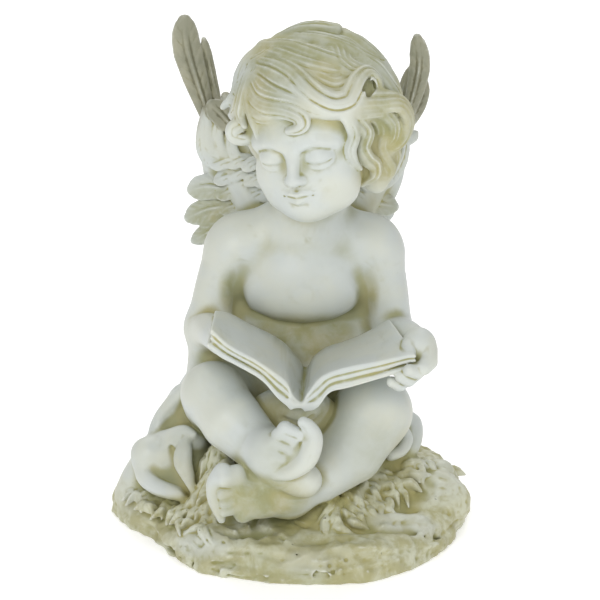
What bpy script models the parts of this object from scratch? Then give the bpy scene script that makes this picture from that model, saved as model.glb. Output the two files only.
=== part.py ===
"""Seated stone cherub reading a book, on its own mound of ground. One cast piece. Metres, +Z up, front
towards -Y. The figure is modelled like clay. Every limb, fold, feather and lock of hair is a simple shape,
blended into a grid of distances to the surface, and the grid is then skinned and reduced to facets. All
sizes inside are in millimetres."""
import math

import bpy
import numpy as np

MM = 0.001
VOXEL_MM = 1.6
TRIANGLES = 9400
# the corners of the block of clay
LOW_CORNER = (-124, -124, -4)
HIGH_CORNER = (124, 124, 332)
# how softly one group of forms runs into the next
JOINT = 1.5
# facets this close to the ground lie on it
UNDERSIDE = 0.4
STONE_COLOUR = (0.62, 0.62, 0.55, 1)
STONE_ROUGHNESS = 0.5

FAR = 30.0


def vec(*values):
    return np.array(values, np.float32)


def unit(v):
    v = np.asarray(v, np.float32)
    return v / np.linalg.norm(v)


def turn(yaw=0.0, pitch=0.0, roll=0.0):
    """Rotation from a part's own axes to the statue's: roll about Y, then pitch about X, then yaw about Z,
    in degrees."""
    y, p, r = (math.radians(a) for a in (yaw, pitch, roll))
    about_z = np.array([[math.cos(y), -math.sin(y), 0], [math.sin(y), math.cos(y), 0], [0, 0, 1]])
    about_x = np.array([[1, 0, 0], [0, math.cos(p), -math.sin(p)], [0, math.sin(p), math.cos(p)]])
    about_y = np.array([[math.cos(r), 0, math.sin(r)], [0, 1, 0], [-math.sin(r), 0, math.cos(r)]])
    return (about_z @ about_x @ about_y).astype(np.float32)


def soft_min(a, b, blend):
    if blend <= 0:
        return np.minimum(a, b)
    near = np.maximum(blend - np.abs(a - b), 0)
    return np.minimum(a, b) - near * near * (0.25 / blend)


def smooth_path(points, count):
    """count points on a Catmull-Rom curve through the given rows, which may carry widths after x, y, z."""
    p = np.asarray(points, np.float32)
    p = np.vstack([2 * p[0] - p[1], p, 2 * p[-1] - p[-2]])
    t = np.linspace(0, len(p) - 3 - 1e-4, count)
    i = t.astype(int)
    f = (t - i)[:, None].astype(np.float32)
    a, b, c, d = p[i], p[i + 1], p[i + 2], p[i + 3]
    return b + 0.5 * f * (c - a + f * (2 * a - 5 * b + 4 * c - d + f * (3 * (b - c) + d - a)))


class Clay:
    def __init__(self, low, high, step):
        self.low = np.array(low, np.float32)
        self.step = float(step)
        self.size = np.ceil((np.array(high) - self.low) / step).astype(int) + 1
        self.field = np.full(self.size, FAR, np.float32)

    def window(self, low, high):
        """Slices of the grid between two corners, and the coordinates of its planes."""
        first = np.clip(np.floor((np.asarray(low) - self.low) / self.step).astype(int), 0, self.size - 1)
        last = np.clip(np.ceil((np.asarray(high) - self.low) / self.step).astype(int) + 1, 1, self.size)
        where = tuple(slice(a, b) for a, b in zip(first, last))
        axes = []
        for i, (a, b) in enumerate(zip(first, last)):
            shape = [1, 1, 1]
            shape[i] = b - a
            axes.append((self.low[i] + self.step * np.arange(a, b, dtype=np.float32)).reshape(shape))
        return where, axes

    def blend_in(self, where, distance, blend, cut=False):
        old = self.field[where]
        self.field[where] = -soft_min(-old, distance, blend) if cut else soft_min(old, distance, blend)

    def ball(self, centre, radii, axes=None, blend=4.0, cut=False, edge=None):
        """An ellipsoid with the three radii along the columns of axes. edge is a point and an outward
        normal that trim it."""
        centre = np.asarray(centre, np.float32)
        radii = np.broadcast_to(np.asarray(radii, np.float32), 3)
        axes = np.eye(3, dtype=np.float32) if axes is None else axes
        reach = np.sqrt(((axes * radii) ** 2).sum(1)) + blend + self.step
        where, (x, y, z) = self.window(centre - reach, centre + reach)
        x, y, z = x - centre[0], y - centre[1], z - centre[2]
        inner = outer = 0
        for axis, r in zip(axes.T, radii):
            q = x * axis[0] + y * axis[1] + z * axis[2]
            inner = inner + (q / r) ** 2
            outer = outer + (q / (r * r)) ** 2
        inner = np.sqrt(inner)
        distance = inner * (inner - 1) / np.maximum(np.sqrt(outer), 1e-6)
        if edge is not None:
            (px, py, pz), (nx, ny, nz) = edge[0] - centre, edge[1]
            distance = -soft_min(-distance, -((x - px) * nx + (y - py) * ny + (z - pz) * nz), 0.5)
        self.blend_in(where, distance, blend, cut)

    def tube(self, path, blend=4.0):
        """Round stretches through rows of x, y, z, radius."""
        path = np.asarray(path, np.float32)
        reach = path[:, 3].max() + blend + self.step
        where, (x, y, z) = self.window(path[:, :3].min(0) - reach, path[:, :3].max(0) + reach)
        best = np.full([s.stop - s.start for s in where], FAR, np.float32)
        corner = [s.start for s in where]
        for a, b in zip(path[:-1], path[1:]):
            reach = max(a[3], b[3]) + blend + self.step
            near, (x, y, z) = self.window(np.minimum(a, b)[:3] - reach, np.maximum(a, b)[:3] + reach)
            local = tuple(slice(n.start - c, n.stop - c) for n, c in zip(near, corner))
            v = (b - a)[:3]
            x, y, z = x - a[0], y - a[1], z - a[2]
            t = np.clip((x * v[0] + y * v[1] + z * v[2]) / max(float(v @ v), 1e-6), 0, 1)
            qx, qy, qz = x - t * v[0], y - t * v[1], z - t * v[2]
            square = qx * qx + qy * qy + qz * qz
            best[local] = np.minimum(best[local], np.sqrt(square) - a[3] - t * (b[3] - a[3]))
        self.blend_in(where, best, blend)

    def stroke(self, path, width, depth):
        """Presses a soft groove along rows of x, y, z into the surface, or with a negative depth raises a
        ridge."""
        path = np.asarray(path, np.float32)[:, :3]
        reach = 2.2 * width + abs(depth)
        where, _ = self.window(path.min(0) - reach, path.max(0) + reach)
        best = np.full([s.stop - s.start for s in where], FAR * FAR, np.float32)
        corner = [s.start for s in where]
        for a, b in zip(path[:-1], path[1:]):
            near, (x, y, z) = self.window(np.minimum(a, b) - reach, np.maximum(a, b) + reach)
            local = tuple(slice(n.start - c, n.stop - c) for n, c in zip(near, corner))
            v = b - a
            x, y, z = x - a[0], y - a[1], z - a[2]
            t = np.clip((x * v[0] + y * v[1] + z * v[2]) / max(float(v @ v), 1e-6), 0, 1)
            square = (x - t * v[0]) ** 2 + (y - t * v[1]) ** 2 + (z - t * v[2]) ** 2
            best[local] = np.minimum(best[local], square)
        self.field[where] += depth * np.exp(-best / (width * width))

    def rope(self, rows, blend=4.0):
        """A tube along a smooth curve through rows of x, y, z, radius."""
        self.tube(smooth_path(rows, 3 * len(rows)), blend)

    def groove(self, rows, width, depth):
        """A stroke along a smooth curve through rows of x, y, z."""
        self.stroke(smooth_path(rows, 3 * len(rows)), width, depth)

    def blade(self, path, out, blend=1.0):
        """A flat oval strip through rows of x, y, z, half width, half thickness. out gives the way its face
        looks, one row for each point."""
        path = np.asarray(path, np.float32)
        out = np.broadcast_to(np.asarray(out, np.float32), (len(path), 3))
        along = np.gradient(path[:, :3], axis=0)
        along /= np.linalg.norm(along, axis=1, keepdims=True) + 1e-9
        side = np.cross(along, out)
        side /= np.linalg.norm(side, axis=1, keepdims=True) + 1e-9
        face = np.cross(side, along)
        reach = path[:, 3:5].max() + blend + self.step
        where, _ = self.window(path[:, :3].min(0) - reach, path[:, :3].max(0) + reach)
        best = np.full([s.stop - s.start for s in where], FAR, np.float32)
        corner = [s.start for s in where]
        for i, (a, b) in enumerate(zip(path[:-1], path[1:])):
            reach = max(*a[3:5], *b[3:5]) + blend + self.step
            near, (x, y, z) = self.window(np.minimum(a, b)[:3] - reach, np.maximum(a, b)[:3] + reach)
            local = tuple(slice(n.start - c, n.stop - c) for n, c in zip(near, corner))
            v = (b - a)[:3]
            x, y, z = x - a[0], y - a[1], z - a[2]
            t = np.clip((x * v[0] + y * v[1] + z * v[2]) / max(float(v @ v), 1e-6), 0, 1)
            qx, qy, qz = x - t * v[0], y - t * v[1], z - t * v[2]
            wide = a[3] + t * (b[3] - a[3])
            thick = a[4] + t * (b[4] - a[4])
            across, up, past = (
                (qx * (v0 + t * w0) + qy * (v1 + t * w1) + qz * (v2 + t * w2)) / span
                for (v0, v1, v2), (w0, w1, w2), span in (
                    (side[i], side[i + 1] - side[i], wide),
                    (face[i], face[i + 1] - face[i], thick),
                    (along[i], along[i + 1] - along[i], thick),
                )
            )
            rho = np.sqrt(across**2 + up**2 + past**2)
            slope = np.sqrt((across / wide) ** 2 + (up / thick) ** 2 + (past / thick) ** 2)
            best[local] = np.minimum(best[local], rho * (rho - 1) / np.maximum(slope, 1e-6))
        self.blend_in(where, best, blend)


def lattice_noise(x, y, z, cell, seed):
    """Smooth noise from -1 to 1 with features about one cell across."""
    rng = np.random.default_rng(seed)
    table = rng.uniform(-1, 1, (16, 16, 16)).astype(np.float32)
    found = 0
    parts = []
    for q in (x, y, z):
        q = q / cell + 1000.0
        i = np.floor(q).astype(np.int32)
        f = (q - i).astype(np.float32)
        parts.append((i & 15, (i + 1) & 15, f * f * (3 - 2 * f)))
    (x0, x1, fx), (y0, y1, fy), (z0, z1, fz) = parts
    for xi, wx in ((x0, 1 - fx), (x1, fx)):
        for yi, wy in ((y0, 1 - fy), (y1, fy)):
            for zi, wz in ((z0, 1 - fz), (z1, fz)):
                found = found + table[xi, yi, zi] * (wx * wy * wz)
    return found


def skin(clay):
    """Vertices and quads of the zero level: one vertex in each cell that the surface crosses, at the mean
    of its crossings."""
    field, size = clay.field, clay.size
    inside = field < 0
    cells = size - 1
    total = int(np.prod(cells))
    crossings = []
    for axis in range(3):
        low = [slice(None)] * 3
        high = [slice(None)] * 3
        low[axis], high[axis] = slice(0, -1), slice(1, None)
        changed = inside[tuple(low)] != inside[tuple(high)]
        # the rim of the grid holds no surface
        index = np.argwhere(changed)
        keep = np.ones(len(index), bool)
        others = [k for k in range(3) if k != axis]
        for k in others:
            keep &= (index[:, k] > 0) & (index[:, k] < size[k] - 1)
        index = index[keep]
        a = field[tuple(index.T)]
        step = index.copy()
        step[:, axis] += 1
        b = field[tuple(step.T)]
        t = a / (a - b)
        point = index.astype(np.float32)
        point[:, axis] += t
        crossings.append((axis, others, index, point, a < 0))
    ids = []
    for axis, others, index, point, starts_inside in crossings:
        u, v = others
        around = []
        for du, dv in ((-1, -1), (0, -1), (0, 0), (-1, 0)):
            cell = index.copy()
            cell[:, u] += du
            cell[:, v] += dv
            around.append((cell[:, 0] * cells[1] + cell[:, 1]) * cells[2] + cell[:, 2])
        ids.append(np.stack(around, 1))
    flat = np.concatenate([i.ravel() for i in ids])
    unique, inverse = np.unique(flat, return_inverse=True)
    points = np.concatenate([np.repeat(p, 4, axis=0) for _, _, _, p, _ in crossings])
    count = np.bincount(inverse, minlength=len(unique))
    vertices = np.stack(
        [np.bincount(inverse, weights=points[:, k], minlength=len(unique)) for k in range(3)], 1
    )
    vertices = vertices / count[:, None]
    quads = inverse.reshape(-1, 4)
    flip = []
    for axis, others, index, point, starts_inside in crossings:
        # a quad around the first or third axis runs counter-clockwise seen from its positive end
        flip.append(starts_inside if axis == 1 else ~starts_inside)
    flip = np.concatenate(flip)
    quads[flip] = quads[flip][:, ::-1]
    return (vertices * clay.step + clay.low).astype(np.float32), quads.astype(np.int32)


def largest_body(vertices, faces):
    """The body with the most faces, counting only shared edges as a connection: hidden hollows and crumbs
    go."""
    ends = np.sort(
        np.stack([faces, np.roll(faces, -1, axis=1)], axis=2).reshape(-1, 2), axis=1
    ).astype(np.int64)
    edge = np.unique(ends[:, 0] * len(vertices) + ends[:, 1], return_inverse=True)[1].reshape(-1)
    owner = np.repeat(np.arange(len(faces)), faces.shape[1])
    label = np.arange(len(faces))
    while True:
        lowest = np.full(edge.max() + 1, len(faces))
        np.minimum.at(lowest, edge, label[owner])
        new = label.copy()
        np.minimum.at(new, owner, lowest[edge])
        new = new[new]
        if (new == label).all():
            break
        label = new
    kept = faces[label == np.bincount(label).argmax()]
    used, renumbered = np.unique(kept, return_inverse=True)
    return vertices[used], renumbered.reshape(kept.shape)


HEAD = vec(15.5, -13, 257.5)
HEAD_TURN = turn(-20, 8, -8)
CAP = vec(-1, 10, 9)
CAP_RADII = vec(46.5, 49, 45)

BASE_MIDDLE = (0, -5)
# radius of the base every 30 degrees from +X, and the height of its shoulder
RIM = (112, 114, 105, 100, 105, 112, 115, 98, 104, 105, 112, 112)
RIM_HEIGHT = 15
SWELL = 15
# heaps of the ground: middle, radii and height
HEAPS = (
    ((90, -22), (24, 24), 11),      # under the boulder
    ((86, 38), (30, 30), 2),
    ((-84, 20), (34, 34), 4),
    ((-46, -40), (14, 17), 34),     # between the folds and the lower foot
)
# the bank under the crossed legs: its two ends, how wide it is and how high
LEG_BANK = ((20, -62), (72, -20), 14, 8)

# joints of the figure, "left" being the -X side
SHOULDERS = {"left": (-33, 12, 175), "right": (51, 12, 174)}
ARMS = {
    "left": [
        (-37, 11, 171, 17.5), (-45, 5, 152, 15), (-50, 1, 137, 13.5), (-53, -3, 126, 12.5),
        (-50, -24, 132, 10), (-42, -54, 136, 8)
    ],
    "right": [
        (54, 11, 168, 17.5), (60, 6, 147, 14.5), (63, 2, 130, 13.5), (67, -10, 124, 12.5),
        (72, -30, 129, 11.5), (79, -54, 133, 9.5)
    ],
}
HIPS = {"left": (-20, 22, 62), "right": (34, 22, 60)}
KNEES = {"left": (-48, -40, 96), "right": (52, -38, 83)}
ANKLES = {"left": (-11, -80, 71), "right": (-3, -72, 42)}

# the cloth round the seat behind, from the waist down: middle y, radii, height, thickness and share of each
# fold's sway
SKIRT = (
    (26, (40, 32), 86, 4, 0), (31, (56, 46), 62, 6, 1), (31, (66, 53), 40, 7.5, 0.4),
    (28, (74, 58), 20, 8, -1)
)

# the open book lies between these two planes, seen from the front
BOOK_FRONT, BOOK_BACK = -86, -25
BOOK_LEFT, BOOK_RIGHT = -47, 75
BOOK_TAPER = 13.5
COVER_THICK = 2.6


def rim_radius(angle):
    """Radius of the base at an angle, eased between the named radii every 30 degrees."""
    q = (angle / (2 * math.pi) * 12) % 12
    i = np.floor(q).astype(int)
    f = q - i
    f = f * f * (3 - 2 * f)
    table = np.array(RIM, np.float32)
    return table[i % 12] * (1 - f) + table[(i + 1) % 12] * f


def ground(x, y):
    """Height of the ground: it swells towards the seat and is heaped up in places."""
    px, py = x - BASE_MIDDLE[0], y - BASE_MIDDLE[1]
    inner = np.hypot(px, py) / rim_radius(np.arctan2(py, px))
    top = RIM_HEIGHT + SWELL * np.clip(1 - inner, 0, 1) ** 0.8
    for (heap_x, heap_y), (long, deep), high in HEAPS:
        top = top + high * np.exp(-(((x - heap_x) / long) ** 2 + ((y - heap_y) / deep) ** 2))
    (ax, ay), (bx, by), wide, high = LEG_BANK
    t = np.clip(((x - ax) * (bx - ax) + (y - ay) * (by - ay)) / ((bx - ax) ** 2 + (by - ay) ** 2), 0, 1)
    aside = np.hypot(x - ax - (bx - ax) * t, y - ay - (by - ay) * t)
    return top + high * np.exp(-((aside / wide) ** 2))


def base(clay):
    where, (x, y, z) = clay.window((-125, -125, -5), (125, 125, 60))
    px, py = x - BASE_MIDDLE[0], y - BASE_MIDDLE[1]
    rho = np.hypot(px, py)
    angle = np.arctan2(py, px)
    rim = rim_radius(angle)
    inner = rho / rim
    rough = 2.6 * lattice_noise(px, py, 0 * px + 3.0, 26, 5)
    top = ground(x, y) + rough
    side = rho - rim + 1.8 * lattice_noise(angle * 90, z + 0 * px, 0 * px, 16, 9)
    lid = z - top
    reach = 17.0
    near = np.maximum(reach - np.abs(side - lid), 0)
    body = np.maximum(side, lid) + near * near * (0.25 / reach)
    clay.blend_in(where, body * 0.85, 0)
    # a boulder on the +X side with a lump behind it
    boulder = (93, -26, 16)
    clay.ball(
        boulder, (22, 20, 17), turn(20, 12, 0), 3,
        edge=(vec(*boulder) + vec(0, -9, 9), unit(vec(-0.15, -0.6, 1)))
    )
    lump = (87, -34, 14)
    clay.ball(lump, (17, 14, 11), turn(-15, 20, 0), 2, edge=(
        vec(*lump) + vec(0, -6, 5), unit(vec(-0.5, -0.7, 1))
    ))
    clay.ball((97, -8, 26), (8, 7, 9), blend=3)
    clay.ball((89, -2, 28), (7, 6, 6), blend=3)
    # worn ledges along the front: raised lips with hollows under them
    ledges = (
        ([
            (46, -68, 23), (58, -66, 24), (70, -60, 21), (81, -57, 16), (90, -54, 9), (99, -48, 2)
        ], 3.6, -3.4),
        ([
            (37, -80, 21), (49, -80, 20), (63, -78, 20), (72, -73, 16), (81, -70, 11), (93, -62, 5)
        ], 2.8, 3.4),
        ([(27, -97, 18), (38, -98, 18), (51, -96, 18), (62, -89, 17), (71, -82, 17)], 4.2, -2.6),
        ([(70, -88, 10), (83, -78, 9), (96, -66, 7)], 3.2, -2.2),
        ([(-78, -63, 8), (-65, -73, 13), (-52, -84, 16), (-36, -92, 16), (-21, -96, 17)], 3.8, -2.8),
        ([(-90, -47, 6), (-79, -62, 4), (-66, -76, 1)], 3.0, 2.8),
        ([(-58, -86, 4), (-40, -98, 8), (-24, -104, 9)], 3.0, 2.0),
        ([(-17, -97, 18), (-9, -98, 17), (1, -101, 15)], 2.8, -2.4),
        ([(25, -79, 23), (26, -90, 21), (28, -98, 17)], 2.4, -2.2),
        ([(-105, -14, 10), (-98, -34, 9), (-88, -44, 11)], 3.5, -2.4),
    )
    for rows, width, depth in ledges:
        clay.groove(rows, width, depth)
    scoops = (
        ((13, -93, 25), (15, 5, 7)), ((-22, -83, 21), (12, 6, 6)), ((55, -105, 17), (15, 6, 7)),
        ((-52, -93, 13), (13, 6, 6))
    )
    for at, radii in scoops:
        clay.ball(at, radii, blend=4, cut=True)
    # the back and sides are dented in the same way, less often
    rng = np.random.default_rng(17)
    for _ in range(12):
        angle = math.radians(rng.uniform(15, 165))
        reach = float(rim_radius(np.array([angle]))[0]) + rng.uniform(-8, 2)
        at = (
            BASE_MIDDLE[0] + reach * math.cos(angle), BASE_MIDDLE[1] + reach * math.sin(angle),
            rng.uniform(12, 24)
        )
        clay.ball(
            at, (rng.uniform(8, 15), 4, rng.uniform(4, 7)), turn(math.degrees(angle) + 90), blend=4,
            cut=True
        )


def floor_cut(clay):
    where, (x, y, z) = clay.window(clay.low, clay.low + clay.step * clay.size)
    clay.field = np.maximum(clay.field, -z + 0 * clay.field)


def leaf(clay, x, y, heading, long, rng):
    """A narrow leaf that arches over the ground along heading and twists to one side."""
    root = vec(x, y, 0)
    go = vec(math.cos(heading), math.sin(heading), 0)
    swerve = vec(-go[1], go[0], 0) * rng.uniform(-0.45, 0.45) * long
    line = [root, root + 0.5 * long * go - 0.4 * swerve, root + long * go + swerve]
    lift = (0.0, rng.uniform(2.0, 5.0), rng.uniform(-0.5, 2.5))
    wide = long * rng.uniform(0.13, 0.21)
    rows = []
    for (px, py, _), up, share in zip(line, lift, (0.8, 1, 0.3)):
        rows.append((px, py, float(ground(px, py)) + up, wide * share, 4.0 * share))
    out = unit(vec(0, 0, 1.0) + rng.uniform(-0.7, 0.7) * vec(-go[1], go[0], 0))
    clay.blade(smooth_path(rows, 7), out, 0.3)


def grass(clay):
    """Leafy tufts crowd round the seat: the larger leaves on both sides in front."""
    rng = np.random.default_rng(3)
    bands = (
        (smooth_path([
            (22, -66, 27), (35, -58, 30), (46, -48, 35), (58, -33, 38), (72, -14, 37), (87, 6, 32)
        ], 9), 17),
        (smooth_path([(69, -20, 35), (80, -8, 32), (91, 2, 30)], 3), 15),
        (smooth_path([
            (-90, -28, 17), (-79, -38, 22), (-68, -48, 24), (-58, -58, 26), (-48, -74, 26)
        ], 6), 15),
        (smooth_path([(-48, -24, 0), (-45, -36, 0), (-44, -48, 0), (-46, -60, 0)], 4), 12),
    )
    for line, size in bands:
        for x, y, _ in line:
            heading = math.atan2(y + 5, x - 6) + rng.uniform(-0.8, 0.8)
            leaf(clay, x, y, heading, size * rng.uniform(0.8, 1.2), rng)


def legs(clay):
    # the leg on the -X side: thigh out to the knee, shin back across to the middle, crossing in front
    clay.tube([(*HIPS["left"], 27), (-45, -14, 82, 24), (*KNEES["left"], 18.5)], blend=8)
    clay.tube([
        (*KNEES["left"], 18.5), (-36, -58, 86, 19.5), (-21, -72, 76, 16), (*ANKLES["left"], 13.5)
    ], blend=8)
    # the leg on the +X side: its shin passes underneath to the lower foot
    clay.tube([(*HIPS["right"], 28), (48, -10, 69, 25), (*KNEES["right"], 22.5)], blend=8)
    clay.tube([
        (*KNEES["right"], 22.5), (37, -52, 63, 21.5), (17, -62, 50, 17), (*ANKLES["right"], 13)
    ], blend=8)


def foot_up(clay):
    """The upper foot, its sole turned out: heel below, the ball and big toe curving up one side, small toes
    between."""
    clay.ball((-12, -86, 77), (15, 14, 15.5), blend=7)
    clay.ball((8, -85, 58), (11.5, 11.5, 10.5), blend=3)
    clay.ball((-3, -84, 62), (15, 11, 11), blend=6)
    clay.ball((4, -90, 78), (9, 10, 13), blend=4)
    sole = [
        (-8, -95, 67, 4.2), (0, -97, 70, 5.8), (9, -98, 77, 6.6), (13, -98, 86, 6.4), (14, -97, 93, 5.4),
        (11, -97, 99, 4.4), (8, -98, 102, 3.6)
    ]
    clay.rope(sole, blend=1.4)
    toes = ((6, -96, 93, 3.8), (2, -96, 89, 3.4), (-1, -97, 84, 3.2), (-5, -97, 78, 3))
    for x, y, z, r in toes:
        clay.tube([(x, y, z, r), (x - 9, y + 4, z + 2.5, r * 1.25)], blend=1.8)


def foot_down(clay):
    """The lower foot lies on its outer edge, toes stacked at the end, the big toe on top."""
    clay.tube([(0, -70, 39, 13), (-17, -79, 47, 12.5), (-27, -84, 50, 12)], blend=6)
    clay.ball((-22, -83, 42), (17, 10, 10), blend=6)
    clay.tube([(-33, -88, 64, 5.5), (-31, -88, 47, 6.5), (-29, -88, 36, 5)], blend=4)
    strip = [
        (-41, -90, 66, 5.6), (-46, -90, 58, 5), (-46, -91, 48, 4.4), (-43, -91, 39, 3.6),
        (-42, -90, 34, 2.6)
    ]
    clay.rope(strip, blend=2.0)
    clay.tube([(-40, -93, 63, 5.6), (-33, -89, 61, 6.2)], blend=2)
    toes = ((-41, -94, 53, 3.8), (-40, -94, 47, 3.5), (-40, -94, 41, 3.1))
    for x, y, z, r in toes:
        clay.tube([(x, y, z, r), (x + 9, y + 4, z + 0.5, r * 1.15)], blend=0.8)


def torso(clay):
    # chest: a broad barrel, fullest along its lower edge
    clay.ball((8, 12, 160), (42, 24, 30), blend=10)
    clay.ball((8, 6, 160), (38, 26, 25), turn(0, 14, 0), blend=12)
    clay.tube([
        (-17, 1, 151, 14), (-6, -2, 148, 15), (8, -3, 147, 15.5), (22, -2, 148, 15), (33, 1, 151, 14)
    ], blend=10)
    clay.ball((8, 18, 174), (39, 22, 24), blend=10)
    clay.tube([(10, 13, 182, 24), (13, 8, 205, 22), (15, 2, 225, 24)], blend=8)
    clay.tube([(-30, 14, 178, 15), (10, 12, 194, 20), (48, 14, 177, 15)], blend=8)
    # shoulder blades and the furrow between them
    clay.ball((-14, 30, 165), (14, 10, 18), turn(0, 0, -12), blend=8)
    clay.ball((30, 30, 165), (14, 10, 18), turn(0, 0, 12), blend=8)
    # belly and hips, drawn in under the chest
    clay.ball((7, 18, 118), (46, 25, 34), blend=3)
    clay.ball((7, 16, 88), (44, 34, 34), blend=9)
    clay.groove([(8, 40, 190), (8, 45, 165), (8, 46, 130), (8, 50, 95)], 7, 2.5)
    clay.groove([(-32, -4, 133), (-18, -10, 127), (6, -12, 124), (29, -10, 127), (41, -4, 133)], 4, 1.6)
    # the inner sides of the arms stay joined to the body
    for side in (-1, 1):
        clay.ball((8 + 40 * side, 14, 134), (14, 13, 30), blend=6)


def arms(clay):
    for side in ("left", "right"):
        clay.ball(SHOULDERS[side], (20, 20, 21), blend=9)
        clay.rope(ARMS[side], blend=6)
    # the elbow on the -X side rests against the hip
    clay.tube([(-52, 2, 122, 13), (-49, 5, 98, 17)], blend=12)
    armpits = (
        [(-31, -12, 166), (-34, -8, 154), (-32, -4, 142)],
        [(43, -12, 164), (45, -8, 152), (44, -4, 137)]
    )
    for rows in armpits:
        clay.groove(rows, 4.5, 3.5)


def hand(clay):
    """The hand on the +X side: thumb over the page, fingers curled round the edge of the cover."""
    clay.ball((78, -68, 139), (10.5, 12, 11.5), turn(0, 20, -20), blend=4)
    digits = (
        [(75, -62, 142, 5), (71, -74, 142, 4.2), (72, -80, 139, 3.6)],
        [(82, -72, 138, 7), (83, -80, 134, 5.6), (80, -85, 132, 4.6)],
        [(81, -76, 132, 4.6), (76, -85, 129, 4.2), (71, -89, 132, 3.8)],
        [(77, -76, 126, 4.6), (71, -83, 123, 4.1), (66, -87, 127, 3.6)],
        [(71, -72, 120, 4.4), (66, -79, 118, 3.8), (61, -83, 122, 3.4)],
    )
    for digit in digits:
        clay.tube(digit, blend=0.8)


def pages_and_cover(x, depth):
    """Heights of the pages' top and of the cover over the floor, lofted from the near edge (depth 0) to the
    far edge (1)."""
    near_top = [
        (-46, -85, 157), (-36, -86, 147), (-21, -87, 138), (-10, -87, 130), (-2, -86, 123), (2, -85, 114),
        (7, -84, 110), (10, -84, 115), (16, -86, 124), (23, -87, 129), (35, -87, 133), (54, -87, 137),
        (70, -85, 141)
    ]
    far_top = [
        (-46, -27, 146), (-37, -26, 144), (-25, -24, 137), (-13, -23, 131), (-3, -23, 124), (5, -23, 114),
        (10, -23, 108), (15, -23, 116), (23, -23, 122), (32, -23, 125), (42, -24, 129), (51, -26, 134),
        (62, -27, 141)
    ]
    cover = [
        (-52, -86, 150), (-41, -87, 141), (-31, -88, 135), (-17, -88, 126), (-7, -87, 114), (0, -87, 109),
        (5, -87, 108), (11, -87, 107), (17, -87, 109), (24, -88, 118), (35, -88, 121), (54, -88, 127),
        (72, -86, 133)
    ]
    near_top, far_top, cover = (smooth_path(rows, 97) for rows in (near_top, far_top, cover))
    back_shift = far_top - near_top
    top, low = [], []
    for d in depth:
        for heights, rows in ((top, near_top), (low, cover)):
            rows = rows + d * back_shift
            heights.append(np.interp(x, rows[:, 0], rows[:, 2]))
    return (np.array(heights, np.float32).T[:, :, None] for heights in (top, low))


def book(clay):
    """An open book: two S-curved stacks of pages over a thin cover."""
    where, (x, y, z) = clay.window(
        (BOOK_LEFT - 13, BOOK_FRONT - 9, 95),
        (BOOK_RIGHT + 11, BOOK_BACK + 10, 168)
    )
    depth = np.clip((y - BOOK_FRONT) / (BOOK_BACK - BOOK_FRONT), 0, 1)
    top, low = pages_and_cover(x[:, 0, 0], depth[0, :, 0])
    steep = np.sqrt(1 + np.gradient(top, clay.step, axis=0) ** 2)
    ends = np.maximum(BOOK_LEFT - x, x - BOOK_RIGHT + BOOK_TAPER * depth)
    front, back = BOOK_FRONT - y, y - BOOK_BACK
    pages = np.maximum((z - top) / steep, (low + 2.2 - z) / steep)
    pages = np.maximum(pages, np.maximum(np.maximum(front, back), ends))
    clay.blend_in(where, pages, 0.6)
    board = np.abs(z - low) / steep - 0.5 * COVER_THICK
    board = np.maximum(board, np.maximum(np.maximum(front, back) - 1.5, ends - 2.2))
    clay.blend_in(where, board, 0.5)


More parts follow.
